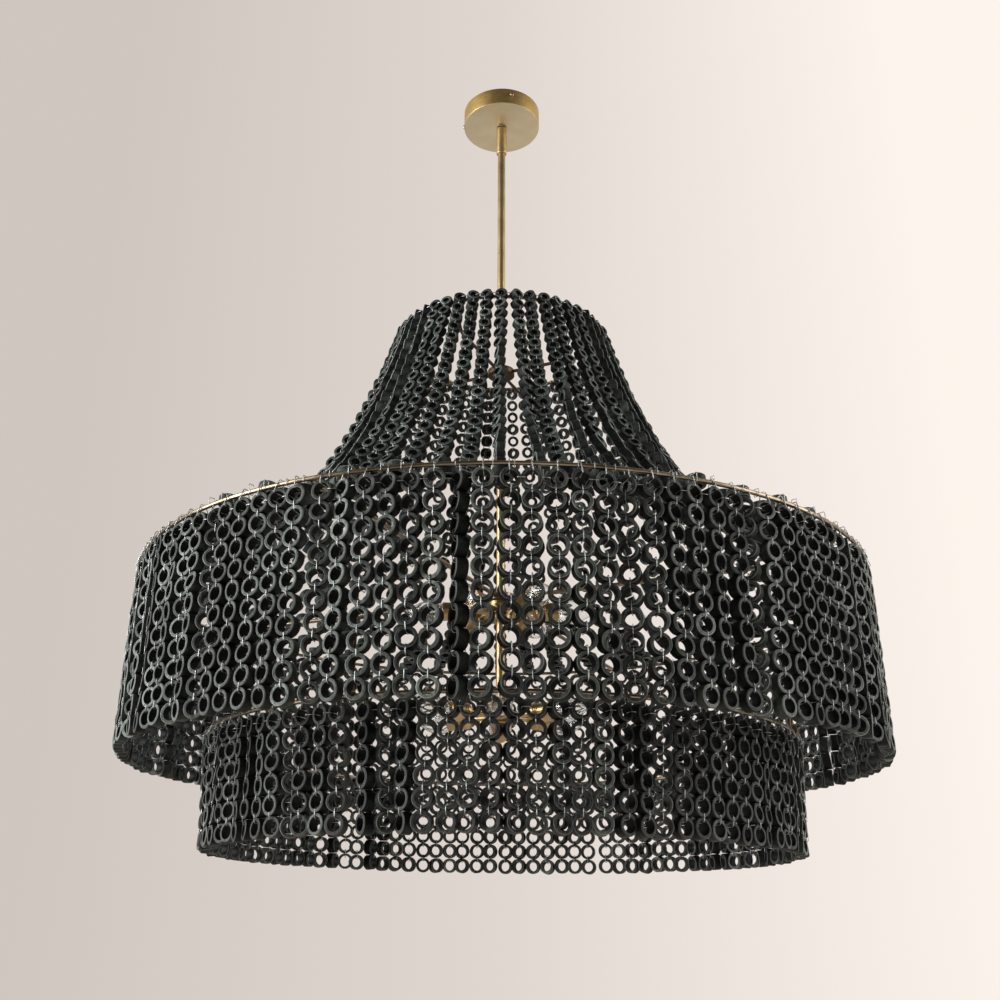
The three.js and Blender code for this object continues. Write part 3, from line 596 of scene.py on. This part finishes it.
def bead_cloud(name, sides, sizes, frames, centres, tones, material):
    """Beads as one piece. A row of sizes is a bead's outer radius, bore radius and length, and a frame's
    rows are its across, bore and up directions."""
    count = len(sizes)
    outer, bore, length = sizes.T
    wobble = RNG.uniform(0.0, OUT_OF_ROUND_SHARE, count)
    phase = RNG.uniform(0, FULL_TURN, count)
    turn = circle_turns(sides)
    swell = 1 + wobble[:, None] * np.cos(2 * turn + phase[:, None])
    circles = []
    for edge, end, inward, off, _face in BEAD_CIRCLES:
        across = ((outer if edge == "outer" else bore) + off)[:, None] * swell
        reach = np.repeat((end * (length / 2 - inward))[:, None], sides, 1)
        circles.append(np.stack([across * np.cos(turn), reach, across * np.sin(turn)], -1))
    points = np.einsum("nrsk,nkj->nrsj", np.stack(circles, 1), frames) + centres.reshape(-1, 1, 1, 3)
    faces = cloud_faces(count, len(BEAD_CIRCLES), sides)[:, ::-1]
    part = np.tile(np.repeat([entry[-1] for entry in BEAD_CIRCLES], sides), count)
    tone = np.repeat(np.clip(tones, 0, 1), len(BEAD_CIRCLES) * sides)
    beads = link_mesh(name, points.reshape(-1, 3), faces, material, {"bead_face": part, "bead_tone": tone})
    shade_by_angle(beads, BEAD_SHADE_ANGLE)
    return beads


# Two directions at right angles, both turned the way from the first to the second.
def swung(first, second, turn):
    c, s = np.cos(turn).reshape(-1, 1), np.sin(turn).reshape(-1, 1)
    return c * first + s * second, c * second - s * first


# Beads' across, bore and up directions after a yaw about up, a lean about across and a roll about the bore.
def turned_frame(out, across, up, yaw, roll, lean):
    out, across, up = (way.reshape(-1, 3) for way in (out, across, up))
    across, bore = swung(across, out, yaw)
    bore, up = swung(bore, up, lean)
    across, up = swung(across, up, roll)
    return np.stack([across, bore, up], 1)


def strand_yaw(count, edge_on_share, edge_on_yaws):
    yaw = RNG.normal(0, YAW_SPREAD, count)
    edge_on = RNG.random(count) < edge_on_share
    yaw[edge_on] = RNG.choice([-1, 1], edge_on.sum()) * RNG.uniform(*edge_on_yaws, edge_on.sum())
    return yaw


# A twist that wanders along each strand, so that a bead is turned much as its neighbours are.
def wander(strands, beads, spread):
    steps = RNG.normal(0, spread, (strands, beads))
    fresh = math.sqrt(1 - WANDER_KEEP_SHARE ** 2)
    for place in range(1, beads):
        steps[:, place] = WANDER_KEEP_SHARE * steps[:, place - 1] + fresh * steps[:, place]
    return steps


# Wires. Each is a closed loop in the plane of two directions, given as shares of its half sizes.
LOOP_SHARES = ((-1, -0.62), (-0.8, -1), (0.8, -1), (1, -0.62), (1, 0.62), (0.8, 1), (-0.8, 1), (-1, 0.62))
HOOK_SHARES = ((-1, -0.86), (-0.84, -1), (0.84, -1), (1, -0.86), (0.44, 0.86), (0.3, 1), (-0.3, 1),
               (-0.44, 0.86))


def loop_cloud(centres, along, high, half_along, half_high, material, sides=LINK_SIDES, radius=WIRE,
               shares=LOOP_SHARES):
    count, steps = len(centres), len(shares)
    first, second = (np.broadcast_to(half, count)[:, None] * way
                     for half, way in ((half_along, along), (half_high, high)))
    shares = np.array(shares)[None, :, :, None]
    path = centres[:, None, :] + shares[:, :, 0] * first[:, None, :] + shares[:, :, 1] * second[:, None, :]
    heading = unit(np.roll(path, -1, 1) - np.roll(path, 1, 1))[:, :, None, :]
    normal = np.cross(along, high)[:, None, None, :]
    turn = (circle_turns(sides) + math.pi / sides)[:, None]
    points = path[:, :, None, :] + radius * (np.cos(turn) * np.cross(heading, normal) + np.sin(turn) * normal)
    return link_mesh("loops", points.reshape(-1, 3), cloud_faces(count, steps, sides), material)


# Loops that join each bead of a strand to the next, through both bores.
def bead_links(centres, frames, half_along, half_high, material):
    bores = frames[:, 1].reshape(centres.shape)
    middles = (centres[:, 1:] + centres[:, :-1]) / 2
    along, high = unit(bores[:, 1:] + bores[:, :-1]), unit(centres[:, :-1] - centres[:, 1:])
    middles, along, high = (part.reshape(-1, 3) for part in (middles, along, high))
    return loop_cloud(middles, along, high, half_along, half_high, material)


# Loops that join the first beads of neighbouring strands.
def side_links(first, half_along, bore, material):
    middles, way = (first[1:] + first[:-1]) / 2, first[1:] - first[:-1]
    half_gap = np.linalg.norm(way, axis=1) / 2
    return loop_cloud(middles, unit(middles * (1, 1, 0)), unit(way), half_along,
                      half_gap - bore + WIRE, material)


# Hooks over the ring of a curtain, through the bore of each column's first bead.
def curtain_hooks(tier, turn, first, material):
    over = RING_ROD + 2 * WIRE
    low = first[:, 2] + tier["bead"]["bore"] - 2 * WIRE
    high = tier["ring_z"] + over + RNG.uniform(0, HOOK_RISE, len(turn))
    middles = (first + polar(tier["radius"], turn, 0)) / 2
    middles[:, 2] = (low + high) / 2
    up = unit(sideways(turn) * RNG.normal(0, HOOK_TILT_SPREAD, len(turn))[:, None] + UP)
    return loop_cloud(middles, outward(turn), up, HOOK_HALF, (high - low) / 2, material, HOOK_SIDES,
                      HOOK_WIRE, HOOK_SHARES)


# Loops from the crown ring through the bore of each strand's first bead.
def crown_hooks(ring_spots, bead_spots, bore, material):
    way = unit(bead_spots - ring_spots)
    reach = np.linalg.norm(bead_spots - ring_spots, axis=1)
    over, into = RING_ROD + WIRE, bore * CROWN_HOOK_BORE_SHARE
    middles = (ring_spots + bead_spots + way * (into - over)) / 2
    high = np.cross(way, unit(np.cross(UP, way)))
    return loop_cloud(middles, way, high, (reach + over + into) / 2, CROWN_HOOK_HALF, material)


# Two loops round the upper ring, one at each side of every strand's last bead.
def foot_ties(turn, bead_heights, outer, length, material):
    over = RING_ROD + 2 * WIRE
    low = UPPER_RING_Z - over
    top = np.maximum(bead_heights + length / 2 - TIE_SINK, UPPER_RING_Z + over)
    loops = []
    for side in (-1, 1):
        middles = polar(UPPER_RING, turn, (top + low) / 2)
        middles += sideways(turn) * (side * (outer * TIE_PLACE_SHARE + WIRE))
        loops.append(loop_cloud(middles, outward(turn), UP, over, (top - low) / 2, material,
                                HOOK_SIDES, TIE_WIRE))
    return join_pieces("ties", loops)


# One quadrant of a curtain: its beads, its wire links, its hooks over the ring and its side links.
def make_curtain(tier, index, wood, wire):
    columns, rows, bead, ring = tier["columns"], tier["rows"], tier["bead"], tier["radius"]
    name, number = tier["name"], index + 1
    side_turn = CURTAIN_SIDE_GAP / ring
    pitch_turn = (QUADRANT - 2 * side_turn) / columns
    turn = spoke_turn(index) + side_turn + (np.arange(columns) + 0.5) * pitch_turn
    turn = turn + RNG.normal(0, TURN_SPREAD_SHARE, columns) * pitch_turn
    column_yaw = strand_yaw(columns, EDGE_ON_SHARE * np.abs(np.cos(turn)), EDGE_ON_YAWS)
    lift = RNG.uniform(0, COLUMN_LIFT, columns)[:, None]
    pitch = tier["pitch"] * (1 - np.abs(RNG.normal(0, PITCH_SPREAD_SHARE, columns)))[:, None]
    sway = RNG.normal(0, SWAY_SPREAD, columns)[:, None]
    row = np.arange(rows)
    share = (row + 0.5) / rows
    shift = sway * share + RNG.normal(0, BEAD_SHIFT_SPREAD, (columns, rows))
    turns = turn[:, None] + shift / ring
    height = tier["ring_z"] - RING_ROD - HOOK_DROP - bead["outer"] + lift * share - row * pitch
    yaw = column_yaw[:, None] + wander(columns, rows, YAW_WANDER)
    lean = RNG.normal(LEAN, LEAN_SPREAD, (columns, rows))
    hang = ring + tier["flare"] * share
    radius = hang + wander(columns, rows, DEPTH_WANDER)
    proud = bead["length"] / 2 * np.cos(yaw) + bead["outer"] * np.abs(np.sin(yaw))
    centres = polar(np.minimum(radius, hang + CURTAIN_HALF - proud), turns, height)
    count = columns * rows
    roll = RNG.uniform(0, FULL_TURN, count)
    frames = turned_frame(outward(turns), sideways(turns), UP, yaw, roll, lean)
    outer, bore, length = (RNG.normal(0, share_spread, count) for share_spread in SIZE_SPREAD_SHARES)
    sizes = np.stack([bead["outer"] * (1 - np.abs(outer)), bead["bore"] * (1 + bore),
                      bead["length"] * (1 - np.abs(length))], 1)
    column_tones = RNG.normal(tier["tone"], COLUMN_TONE_SPREAD, columns)[:, None]
    tones = column_tones + RNG.normal(0, BEAD_TONE_SPREAD, (columns, rows))
    beads = bead_cloud(f"{name}_beads_{number}", TIER_BEAD_SIDES, sizes, frames, centres, tones, wood)
    dress(beads, "fixture", "tier_beads", f"{name}_curtain_{number}")

    first, half_along = centres[:, 0], bead["length"] / 2 + LINK_STANDOFF
    reach = RNG.normal(bead["outer"] - bead["bore"] + LINK_SLACK, LINK_SPREAD, columns * (rows - 1))
    links = bead_links(centres, frames, half_along, reach, wire)
    hooks = curtain_hooks(tier, turn, first, wire)
    sides = side_links(first, half_along, bead["bore"], wire)
    dress(join_pieces(f"{name}_wires_{number}", [links, hooks, sides]), "fixture", "steel")


# The crown's drape: radius, height and distance along a hanging chain.
def drape_curve():
    span, rise = DRAPE_FOOT - DRAPE_TOP, DRAPE_FOOT_Z - DRAPE_TOP_Z
    shift = DRAPE_SAG * math.asinh(rise / (2 * DRAPE_SAG * math.sinh(span / (2 * DRAPE_SAG))))
    lowest = (DRAPE_TOP + DRAPE_FOOT) / 2 - shift
    radius = np.linspace(DRAPE_TOP, DRAPE_FOOT, DRAPE_POINTS)
    height = DRAPE_SAG * np.cosh((radius - lowest) / DRAPE_SAG)
    height = height - height[0] + DRAPE_TOP_Z
    along = np.concatenate([[0], np.cumsum(np.hypot(np.diff(radius), np.diff(height)))])
    return radius, height, along


# How far along the drape each bead's centre lies, and the beads' outer radii, bores and lengths.
def crown_stations(total):
    top, foot = (np.array(list(bead.values())) for bead in (CROWN_BEAD_TOP, CROWN_BEAD_FOOT))
    spots, sizes, at = [], [], top[0]
    while at < total - FOOT_MARGIN + foot[0]:
        size = top + (foot - top) * (at / total)
        spots.append(at)
        sizes.append(size)
        at += size[0] * CROWN_PITCH_SHARE
    spots, first = np.array(spots), spots[0]
    stretch = (total - FOOT_MARGIN - first) / (spots[-1] - first)
    return first + (spots - first) * stretch, np.array(sizes)


# How far each strand is swung about the stem off its even place, by how far along it runs. Those beside
# the front lie wider apart at the crown ring and closer together at the upper ring.
def crown_swing(turn, share):
    off_front = (turn - FRONT + math.pi) % FULL_TURN - math.pi
    spread = FRONT_SPREAD_TOP + (FRONT_SPREAD_FOOT - FRONT_SPREAD_TOP) * share
    return spread * np.sin(2 * np.clip(off_front, -math.pi / 2, math.pi / 2))[:, None]


# A slow turn about its own line in some of the strands, which shows their beads edge on.
def crown_twist(strands, beads):
    start = RNG.uniform(TWIST_FIRST_BEAD, beads * TWIST_LAST_START_SHARE, strands)[:, None]
    span = RNG.uniform(*TWIST_BEADS, strands)[:, None]
    turned_by = RNG.choice([-1, 1], strands) * RNG.uniform(*TWIST_TURNS, strands)
    turned_by = turned_by * (RNG.random(strands) < TWIST_SHARE)
    return turned_by[:, None] * np.clip((np.arange(beads) - start) / span, 0, 1)


# One quadrant of the crown: its beads, its wire links, its loops over both rings and its side links.
def make_crown(index, wood, wire):
    number, strands = index + 1, CROWN_STRANDS
    radius, height, along = drape_curve()
    spots, bead_sizes = crown_stations(along[-1])
    beads_each, way = len(spots), spots / along[-1]
    turn = spoke_turn(index) + (np.arange(strands) + 0.5) * (QUADRANT / strands)
    bulge = np.sin(math.pi * way)
    belly = bulge * RNG.normal(SLACK, SLACK_SPREAD, strands)[:, None]
    dr, dz = (np.interp(spots + DRAPE_STEP, along, line) - np.interp(spots - DRAPE_STEP, along, line)
              for line in (radius, height))
    dr, dz = (part / np.hypot(dr, dz) for part in (dr, dz))
    r = np.interp(spots, along, radius) - dz * belly
    z = np.interp(spots, along, height) + dr * belly
    lean = RNG.normal(0, CROWN_LEAN_SPREAD, strands)[:, None] * way
    bow = RNG.normal(0, CROWN_BOW_SPREAD, strands)[:, None] * bulge / r
    turns = turn[:, None] + crown_swing(turn, way) + lean + bow
    raised = RNG.random(strands) < FOOT_RAISED_SHARE
    r[:, -1] = FOOT_RADIUS
    z[:, -1] = np.where(raised, FOOT_Z, FOOT_LOW_Z) + RNG.normal(0, FOOT_SPREAD, strands)
    centres = polar(r, turns, z)
    calm = np.clip((spots[-1] - spots) / CALM_LENGTH, 0, 1)
    yaw = CROWN_YAW_SCALE * strand_yaw(strands, CROWN_EDGE_ON_SHARE, CROWN_EDGE_ON_YAWS)[:, None]
    yaw = yaw + wander(strands, beads_each, CROWN_YAW_WANDER)
    yaw = (yaw + crown_twist(strands, beads_each)) * calm
    count = strands * beads_each
    roll, lean = RNG.uniform(0, FULL_TURN, count), RNG.normal(0, LEAN_SPREAD, count)
    frames = turned_frame(polar(-dz, turns, dr), sideways(turns), -polar(dr, turns, dz), yaw, roll, lean)
    sizes = np.tile(bead_sizes, (strands, 1)) * (1 + RNG.normal(0, CROWN_SIZE_SPREAD_SHARE, (count, 1)))
    tones = RNG.normal(CROWN_TONE, CROWN_TONE_SPREAD, (strands, beads_each)) + CROWN_FOOT_TONE * way
    tones[:, -1] += LAST_BEAD_TONE
    beads = bead_cloud(f"crown_beads_{number}", CROWN_BEAD_SIDES, sizes, frames, centres, tones, wood)
    dress(beads, "fixture", "crown_beads", f"crown_strands_{number}")

    outer, bore, length = bead_sizes.T
    wall = outer - bore
    half_along = np.tile((length[:-1] + length[1:]) / 4 + 2 * WIRE, strands)
    reach = np.tile((wall[:-1] + wall[1:]) / 2 + CROWN_LINK_SLACK, strands)
    first = centres[:, 0]
    links = bead_links(centres, frames, half_along, reach, wire)
    hooks = crown_hooks(polar(CROWN_RING, turns[:, 0], CROWN_RING_Z), first, bore[0], wire)
    ties = foot_ties(turns[:, -1], z[:, -1], outer[-1], length[-1], wire)
    sides = side_links(first, length[0] / 2 + 2 * WIRE, bore[0], wire)
    dress(join_pieces(f"crown_wires_{number}", [links, hooks, ties, sides]), "fixture", "steel")


# Brass work

def make_ring(name, radius, height, material, slot_name):
    path = polar(radius, circle_turns(RING_STEPS), height)
    dress(rod(f"{name}_rod", path, RING_ROD, material, RING_SIDES, True), "fixture", slot_name, name)


# A hub on the stem with an arm to each spoke's place, along (radius, height) pairs.
def make_spider(name, hub_z, line, arm_rod, sides, material, slot_name):
    bottom, top = hub_z - HUB_HEIGHT / 2, hub_z + HUB_HEIGHT / 2
    outline = [*sleeve_outline(HUB_RADIUS, HUB_EDGE, bottom, top), (ON_STEM, top)]
    pieces = [turned("hub", outline, material, HUB_SIDES, True)]
    for index in range(QUADRANTS):
        path = [polar(radius, spoke_turn(index), height) for radius, height in line]
        pieces.append(rod("arm", path, arm_rod, material, sides))
    dress(join_pieces(f"{name}_brass", pieces), "fixture", slot_name, name)


def make_crown_spider(material):
    elbow = CROWN_RING - CROWN_ARM_BEND
    line = [(HUB_RADIUS - ROOT_DEPTH, CROWN_HUB_Z), (elbow, CROWN_HUB_Z),
            *bend(elbow, CROWN_HUB_Z, CROWN_ARM_BEND, CROWN_ARM_BEND_START, CROWN_ARM_BEND_POINTS),
            (CROWN_RING, CROWN_RING_Z - RING_ROD - SEAT_GAP)]
    make_spider("crown_spider", CROWN_HUB_Z, line, CROWN_ARM_ROD, HANGER_SIDES, material, "dark_brass")


def make_upper_spider(material):
    line = [(HUB_RADIUS - ROOT_DEPTH, UPPER_RING_Z), (UPPER_RING - RING_ROD - SEAT_GAP, UPPER_RING_Z)]
    make_spider("upper_spider", UPPER_RING_Z, line, SPOKE_ROD, SPOKE_SIDES, material, "ring_brass")


# Rods from the spokes to the lower ring, with an eye round the spoke and one round the ring.
def make_hangers(material):
    top_eye, low_eye = SPOKE_ROD + SEAT_GAP + HANGER_ROD, RING_ROD + 2 * SEAT_GAP + HANGER_ROD
    for index in range(QUADRANTS):
        name, turn = f"hanger_{index + 1}", spoke_turn(index)
        eyes = []
        for height, level, radius in ((UPPER_RING_Z, sideways(turn), top_eye),
                                      (LOWER_RING_Z, outward(turn), low_eye)):
            path = [polar(LOWER_RING, turn, height) + radius * (math.cos(step) * level + math.sin(step) * UP)
                    for step in circle_turns(EYE_STEPS)]
            eyes.append(rod("eye", path, HANGER_ROD, material, EYE_SIDES, True))
        ends = (LOWER_RING_Z + low_eye, UPPER_RING_Z - top_eye)
        path = [polar(LOWER_RING, turn, height) for height in ends]
        shank = rod("shank", path, HANGER_ROD, material, HANGER_SIDES)
        dress(join_pieces(f"{name}_brass", [shank, *eyes]), "fixture", "dark_brass", name)


def make_canopy(material):
    inside, floor = CANOPY_RADIUS - CANOPY_WALL, -CANOPY_DEPTH + CANOPY_WALL
    outline = [(CANOPY_HOLE, -CANOPY_DEPTH),
               *rounded(CANOPY_RADIUS - CANOPY_EDGE, -CANOPY_DEPTH + CANOPY_EDGE, CANOPY_EDGE, -90, 0),
               (CANOPY_RADIUS, -CANOPY_RIM), (CANOPY_RADIUS - CANOPY_RIM, 0), (inside, 0), (inside, floor),
               (CANOPY_HOLE, floor)]
    dress(turned("canopy_cup", outline, material, CANOPY_SIDES, True), "ceiling", "canopy_brass", "canopy")


def make_canopy_screws(material):
    start = CANOPY_RADIUS + SEAT_GAP
    tip, top = start - SCREW_SHANK_LENGTH, start + SCREW_HEAD_HEIGHT
    dimple = top - SCREW_DIMPLE_DEPTH
    outline = [(0, tip), (SCREW_SHANK, tip), (SCREW_SHANK, start), (SCREW_HEAD - SCREW_BEVEL, start),
               (SCREW_HEAD, start + SCREW_BEVEL), (SCREW_HEAD, start + SCREW_HEAD_BAND),
               *rounded(SCREW_HEAD - SCREW_HEAD_EDGE, top - SCREW_HEAD_EDGE, SCREW_HEAD_EDGE, 0, 90),
               (SCREW_DIMPLE_TOP, top), (SCREW_DIMPLE_FLOOR, dimple), (0, dimple)]
    for index in range(SCREWS):
        node = f"canopy_screw_{index + 1}"
        screw = turned(f"thumb_screw_{index + 1}", outline, material, CAP_SIDES)
        turn_to(screw, FIRST_SCREW + index * FULL_TURN / SCREWS, SCREW_Z)
        dress(screw, node, "canopy_brass", node)


def make_stem(material):
    outline = [*sleeve_outline(COLLAR_RADIUS, COLLAR_EDGE, COLLAR_TOP - COLLAR_LENGTH, COLLAR_TOP),
               (COLLAR_BORE, COLLAR_TOP), (COLLAR_BORE, COLLAR_STEP_Z), (ON_STEM, COLLAR_STEP_Z)]
    collar = turned("collar_sleeve", outline, material, STEM_SIDES, True)
    dress(collar, "fixture", "stem_brass", "canopy_collar")
    end = [(STEM_BORE, 0), (STEM_RADIUS - STEM_BEVEL, 0), (STEM_RADIUS, STEM_BEVEL)]
    for name, top, bottom in (("stem_upper", STEM_TOP_Z, STEM_JOINT_Z + SEAT_GAP / 2),
                              ("stem_lower", STEM_JOINT_Z - SEAT_GAP / 2, STEM_BOTTOM_Z)):
        outline = placed(end, bottom) + placed(end[::-1], top, -1)
        dress(turned(f"{name}_tube", outline, material, STEM_SIDES, True), "fixture", "stem_brass", name)


def make_finial(material):
    top, plug = STEM_BOTTOM_Z - SEAT_GAP, STEM_BORE - SEAT_GAP
    centre = top - FINIAL_NECK_HEIGHT - math.sqrt(FINIAL_RADIUS ** 2 - FINIAL_NECK ** 2)
    turns = np.linspace(-math.pi / 2, math.acos(FINIAL_NECK / FINIAL_RADIUS), FINIAL_POINTS)
    ball = [(FINIAL_RADIUS * math.cos(turn), centre + FINIAL_RADIUS * math.sin(turn)) for turn in turns[1:]]
    outline = [(0, centre - FINIAL_RADIUS), *ball, (FINIAL_NECK, top), (plug, top),
               (plug, top + FINIAL_RADIUS), (0, top + FINIAL_RADIUS)]
    dress(turned("finial_ball", outline, material, FINIAL_SIDES), "fixture", "lamp_brass", "stem_finial")


# Lamps. Arms, sockets and bulbs are turned about their own line and then laid outward.
def make_cluster(tier, top, height, lamp_z, turns, material):
    groove = CLUSTER_RADIUS - CLUSTER_GROOVE
    low, high = lamp_z - CLUSTER_BAND_HALF, lamp_z + CLUSTER_BAND_HALF
    band = [(CLUSTER_RADIUS, low - CLUSTER_GROOVE), (groove, low), (groove, high),
            (CLUSTER_RADIUS, high + CLUSTER_GROOVE)]
    drum = [*sleeve_outline(CLUSTER_RADIUS, CLUSTER_EDGE, top - height, top, band), (ON_STEM, top)]
    arm = (placed(ARM_FROM_DRUM, CLUSTER_RADIUS - ROOT_DEPTH)
           + placed(ARM_BACK_FROM_SOCKET, SOCKET_START - SEAT_GAP, -1))
    pieces = [turned("drum", drum, material, HUB_SIDES, True)]
    pieces += [turn_to(turned("arm", arm, material, ARM_SIDES), turn, lamp_z) for turn in turns]
    dress(join_pieces(f"{tier}_cluster_brass", pieces), "fixture", "lamp_brass", f"{tier}_lamp_cluster")


def socket_outline():
    outline = placed(SOCKET_FROM_START, SOCKET_START)
    for groove in SOCKET_GROOVE_STARTS:
        outline += placed(SOCKET_GROOVE, SOCKET_START + groove)
    return outline + placed(SOCKET_BACK_FROM_MOUTH, SOCKET_MOUTH, -1) + placed(SOCKET_FLOOR, SOCKET_START)


def cap_outline():
    outline = placed(CAP_TIP_BACK, SOCKET_MOUTH, -1)
    for thread in range(CAP_THREADS):
        outline += placed(CAP_THREAD, SOCKET_MOUTH - CAP_THREAD_START_BACK + thread * CAP_THREAD_PITCH)
    return outline + placed(CAP_TOP_BACK, SOCKET_MOUTH, -1)


def glass_outline():
    foot = SOCKET_MOUTH + SEAT_GAP - BULB_SINK
    outer = []
    for step in range(BULB_POINTS):
        share = step / BULB_POINTS
        swell = math.sin(math.pi * share ** BULB_BELLY_PLACE_SHARE) ** BULB_FULLNESS_SHARE
        neck = BULB_NECK * (1 - share) ** BULB_NECK_EASE_SHARE
        belly = BULB_BELLY * swell * (1 - BULB_TAPER_SHARE * share)
        outer.append((neck + belly, foot + BULB_REACH * share))
    inner = [(radius - BULB_WALL, height) for radius, height in outer[::-1]]
    return [*outer, (0, foot + BULB_REACH), (0, foot + BULB_REACH - BULB_WALL), *inner]


# The two leads of a bulb and the filament that zigzags between their ends.
def filament_wires(start, material):
    leads = ([(side * across, 0, start + rise) for across, rise in LEAD] for side in (-1, 1))
    wires = [rod("lead", path, LEAD_ROD, material, LEAD_SIDES) for path in leads]
    reach, rise = LEAD[-1]
    zigzag = [(reach * (2 * place / FILAMENT_BENDS - 1), FILAMENT_DEPTH * (-1) ** place,
               start + rise + FILAMENT_RISE * (place % 2)) for place in range(FILAMENT_BENDS + 1)]
    return [*wires, rod("filament", zigzag, FILAMENT_ROD, material, LEAD_SIDES)]


def make_lamp(tier, number, turn, lamp_z, brass, glass, filament, steel):
    body = f"{tier}_bulb_{number}"
    socket = turned(f"{tier}_socket_cup_{number}", socket_outline(), brass, STEM_SIDES)
    dress(turn_to(socket, turn, lamp_z), "fixture", "lamp_brass", f"{tier}_socket_{number}")
    shell = turned(f"{tier}_glass_{number}", glass_outline(), glass, GLASS_SIDES, True)
    dress(turn_to(shell, turn, lamp_z), body, "bulb_glass", body)
    cap = turned(f"{tier}_bulb_cap_{number}", cap_outline(), steel, CAP_SIDES)
    dress(turn_to(cap, turn, lamp_z), body, "steel")
    start = SOCKET_MOUTH - GLASS_FOOT_BACK
    inside = filament_wires(start, filament)
    inside.append(turned("mount", placed(GLASS_STEM, start), glass, GLASS_STEM_SIDES))
    inside = join_pieces(f"{tier}_filament_{number}", inside)
    dress(turn_to(inside, turn, lamp_z), body, "bulb_glass")


# Stage

def make_stage():
    sheet = new_material("pale_stage")
    place = sheet.add("SeparateXYZ", "X", {"Vector": sheet.add("TexCoord", "Object")})
    color = sheet.ramp(sheet.remap(place, STAGE_LEFT, STAGE_RIGHT, 0, 1), *STAGE_PAINTED_LIGHT_TONES)
    # Painted light: the backdrop glows with its left-to-right ramp for camera, glossy and transmission rays.
    glow = sheet.add("Emission", "Emission", {"Color": color})
    sheet.look({"Base Color": color, "Roughness": STAGE_ROUGHNESS})
    seen = sheet.rays("Is Camera Ray", "Is Transmission Ray", "Is Glossy Ray")
    lit = sheet.tree.nodes["Principled BSDF"].outputs["BSDF"]
    sheet.blend_surfaces(seen, lit, glow, "Material Output")
    bend_start = STAGE_BACK - STAGE_BEND
    line = [(-STAGE_HALF, STAGE_FLOOR_Z), (bend_start, STAGE_FLOOR_Z),
            *bend(bend_start, STAGE_FLOOR_Z, STAGE_BEND, STAGE_BEND_START, STAGE_BEND_POINTS),
            (STAGE_BACK, STAGE_TOP_Z)]
    points = [(x, y, z) for y, z in line for x in (-STAGE_HALF, STAGE_HALF)]
    faces = [(2 * i, 2 * i + 1, 2 * i + 3, 2 * i + 2) for i in range(len(line) - 1)]
    link_mesh("backdrop", points, faces, sheet.owner)


def add_area(name, place, target, size, power, color):
    light = bpy.data.lights.new(name, "AREA")
    light.shape = "RECTANGLE"
    light.size, light.size_y = size
    light.energy = power
    light.color = color
    lamp = bpy.data.objects.new(name, light)
    lamp.location = place
    lamp.rotation_euler = (Vector(target) - Vector(place)).to_track_quat("-Z", "Y").to_euler()
    bpy.context.scene.collection.objects.link(lamp)


def make_light():
    world = bpy.data.worlds.new("studio")
    bpy.context.scene.world = world
    studio = Shading(world)
    studio.look({"Color": WORLD_COLOR, "Strength": WORLD_STRENGTH}, "Background")
    lit = studio.tree.nodes["Background"].outputs["Background"]
    pale = studio.add("Background", "Background", {"Color": PALE})
    studio.blend_surfaces(studio.rays("Is Camera Ray", "Is Transmission Ray"), lit, pale, "World Output")
    for name, light in LIGHTS.items():
        add_area(name, *light)
    bpy.context.scene.view_settings.view_transform = "Standard"


def main():
    make_camera()
    canopy_brass = make_canopy_brass()
    brass = {name: make_brass(name, *look) for name, look in BRASS.items()}
    steel = make_steel()
    wire = make_wire_material()
    glass = make_glass()
    filament = make_filament_material()
    tier_bead = make_bead_material("tier_bead", TIER_WOOD)
    crown_bead = make_bead_material("crown_bead", CROWN_WOOD)

    for index in range(QUADRANTS):
        make_crown(index, crown_bead, wire)
        make_curtain(UPPER, index, tier_bead, wire)
        make_curtain(LOWER, index, tier_bead, wire)
    for name, (radius, height, slot_name) in RINGS.items():
        make_ring(name, radius, height, brass[slot_name], slot_name)
    make_crown_spider(brass["dark_brass"])
    make_upper_spider(brass["ring_brass"])
    make_hangers(brass["dark_brass"])
    make_canopy(canopy_brass)
    make_canopy_screws(brass["screw_brass"])
    make_stem(brass["stem_brass"])
    make_finial(brass["lamp_brass"])
    for tier, (top, height, lamp_z, first) in LAMP_TIERS.items():
        turns = [first + index * FULL_TURN / LAMPS for index in range(LAMPS)]
        make_cluster(tier, top, height, lamp_z, turns, brass["lamp_brass"])
        for index, turn in enumerate(turns):
            make_lamp(tier, index + 1, turn, lamp_z, brass["lamp_brass"], glass, filament, steel)
    for node in ("ceiling_plate", "swivel_yoke", "swivel_cross", "swivel_head", "stem_coupler"):
        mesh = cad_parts[node].data
        mesh.materials.clear()
        mesh.materials.append(steel)
    make_stage()
    make_light()


main()
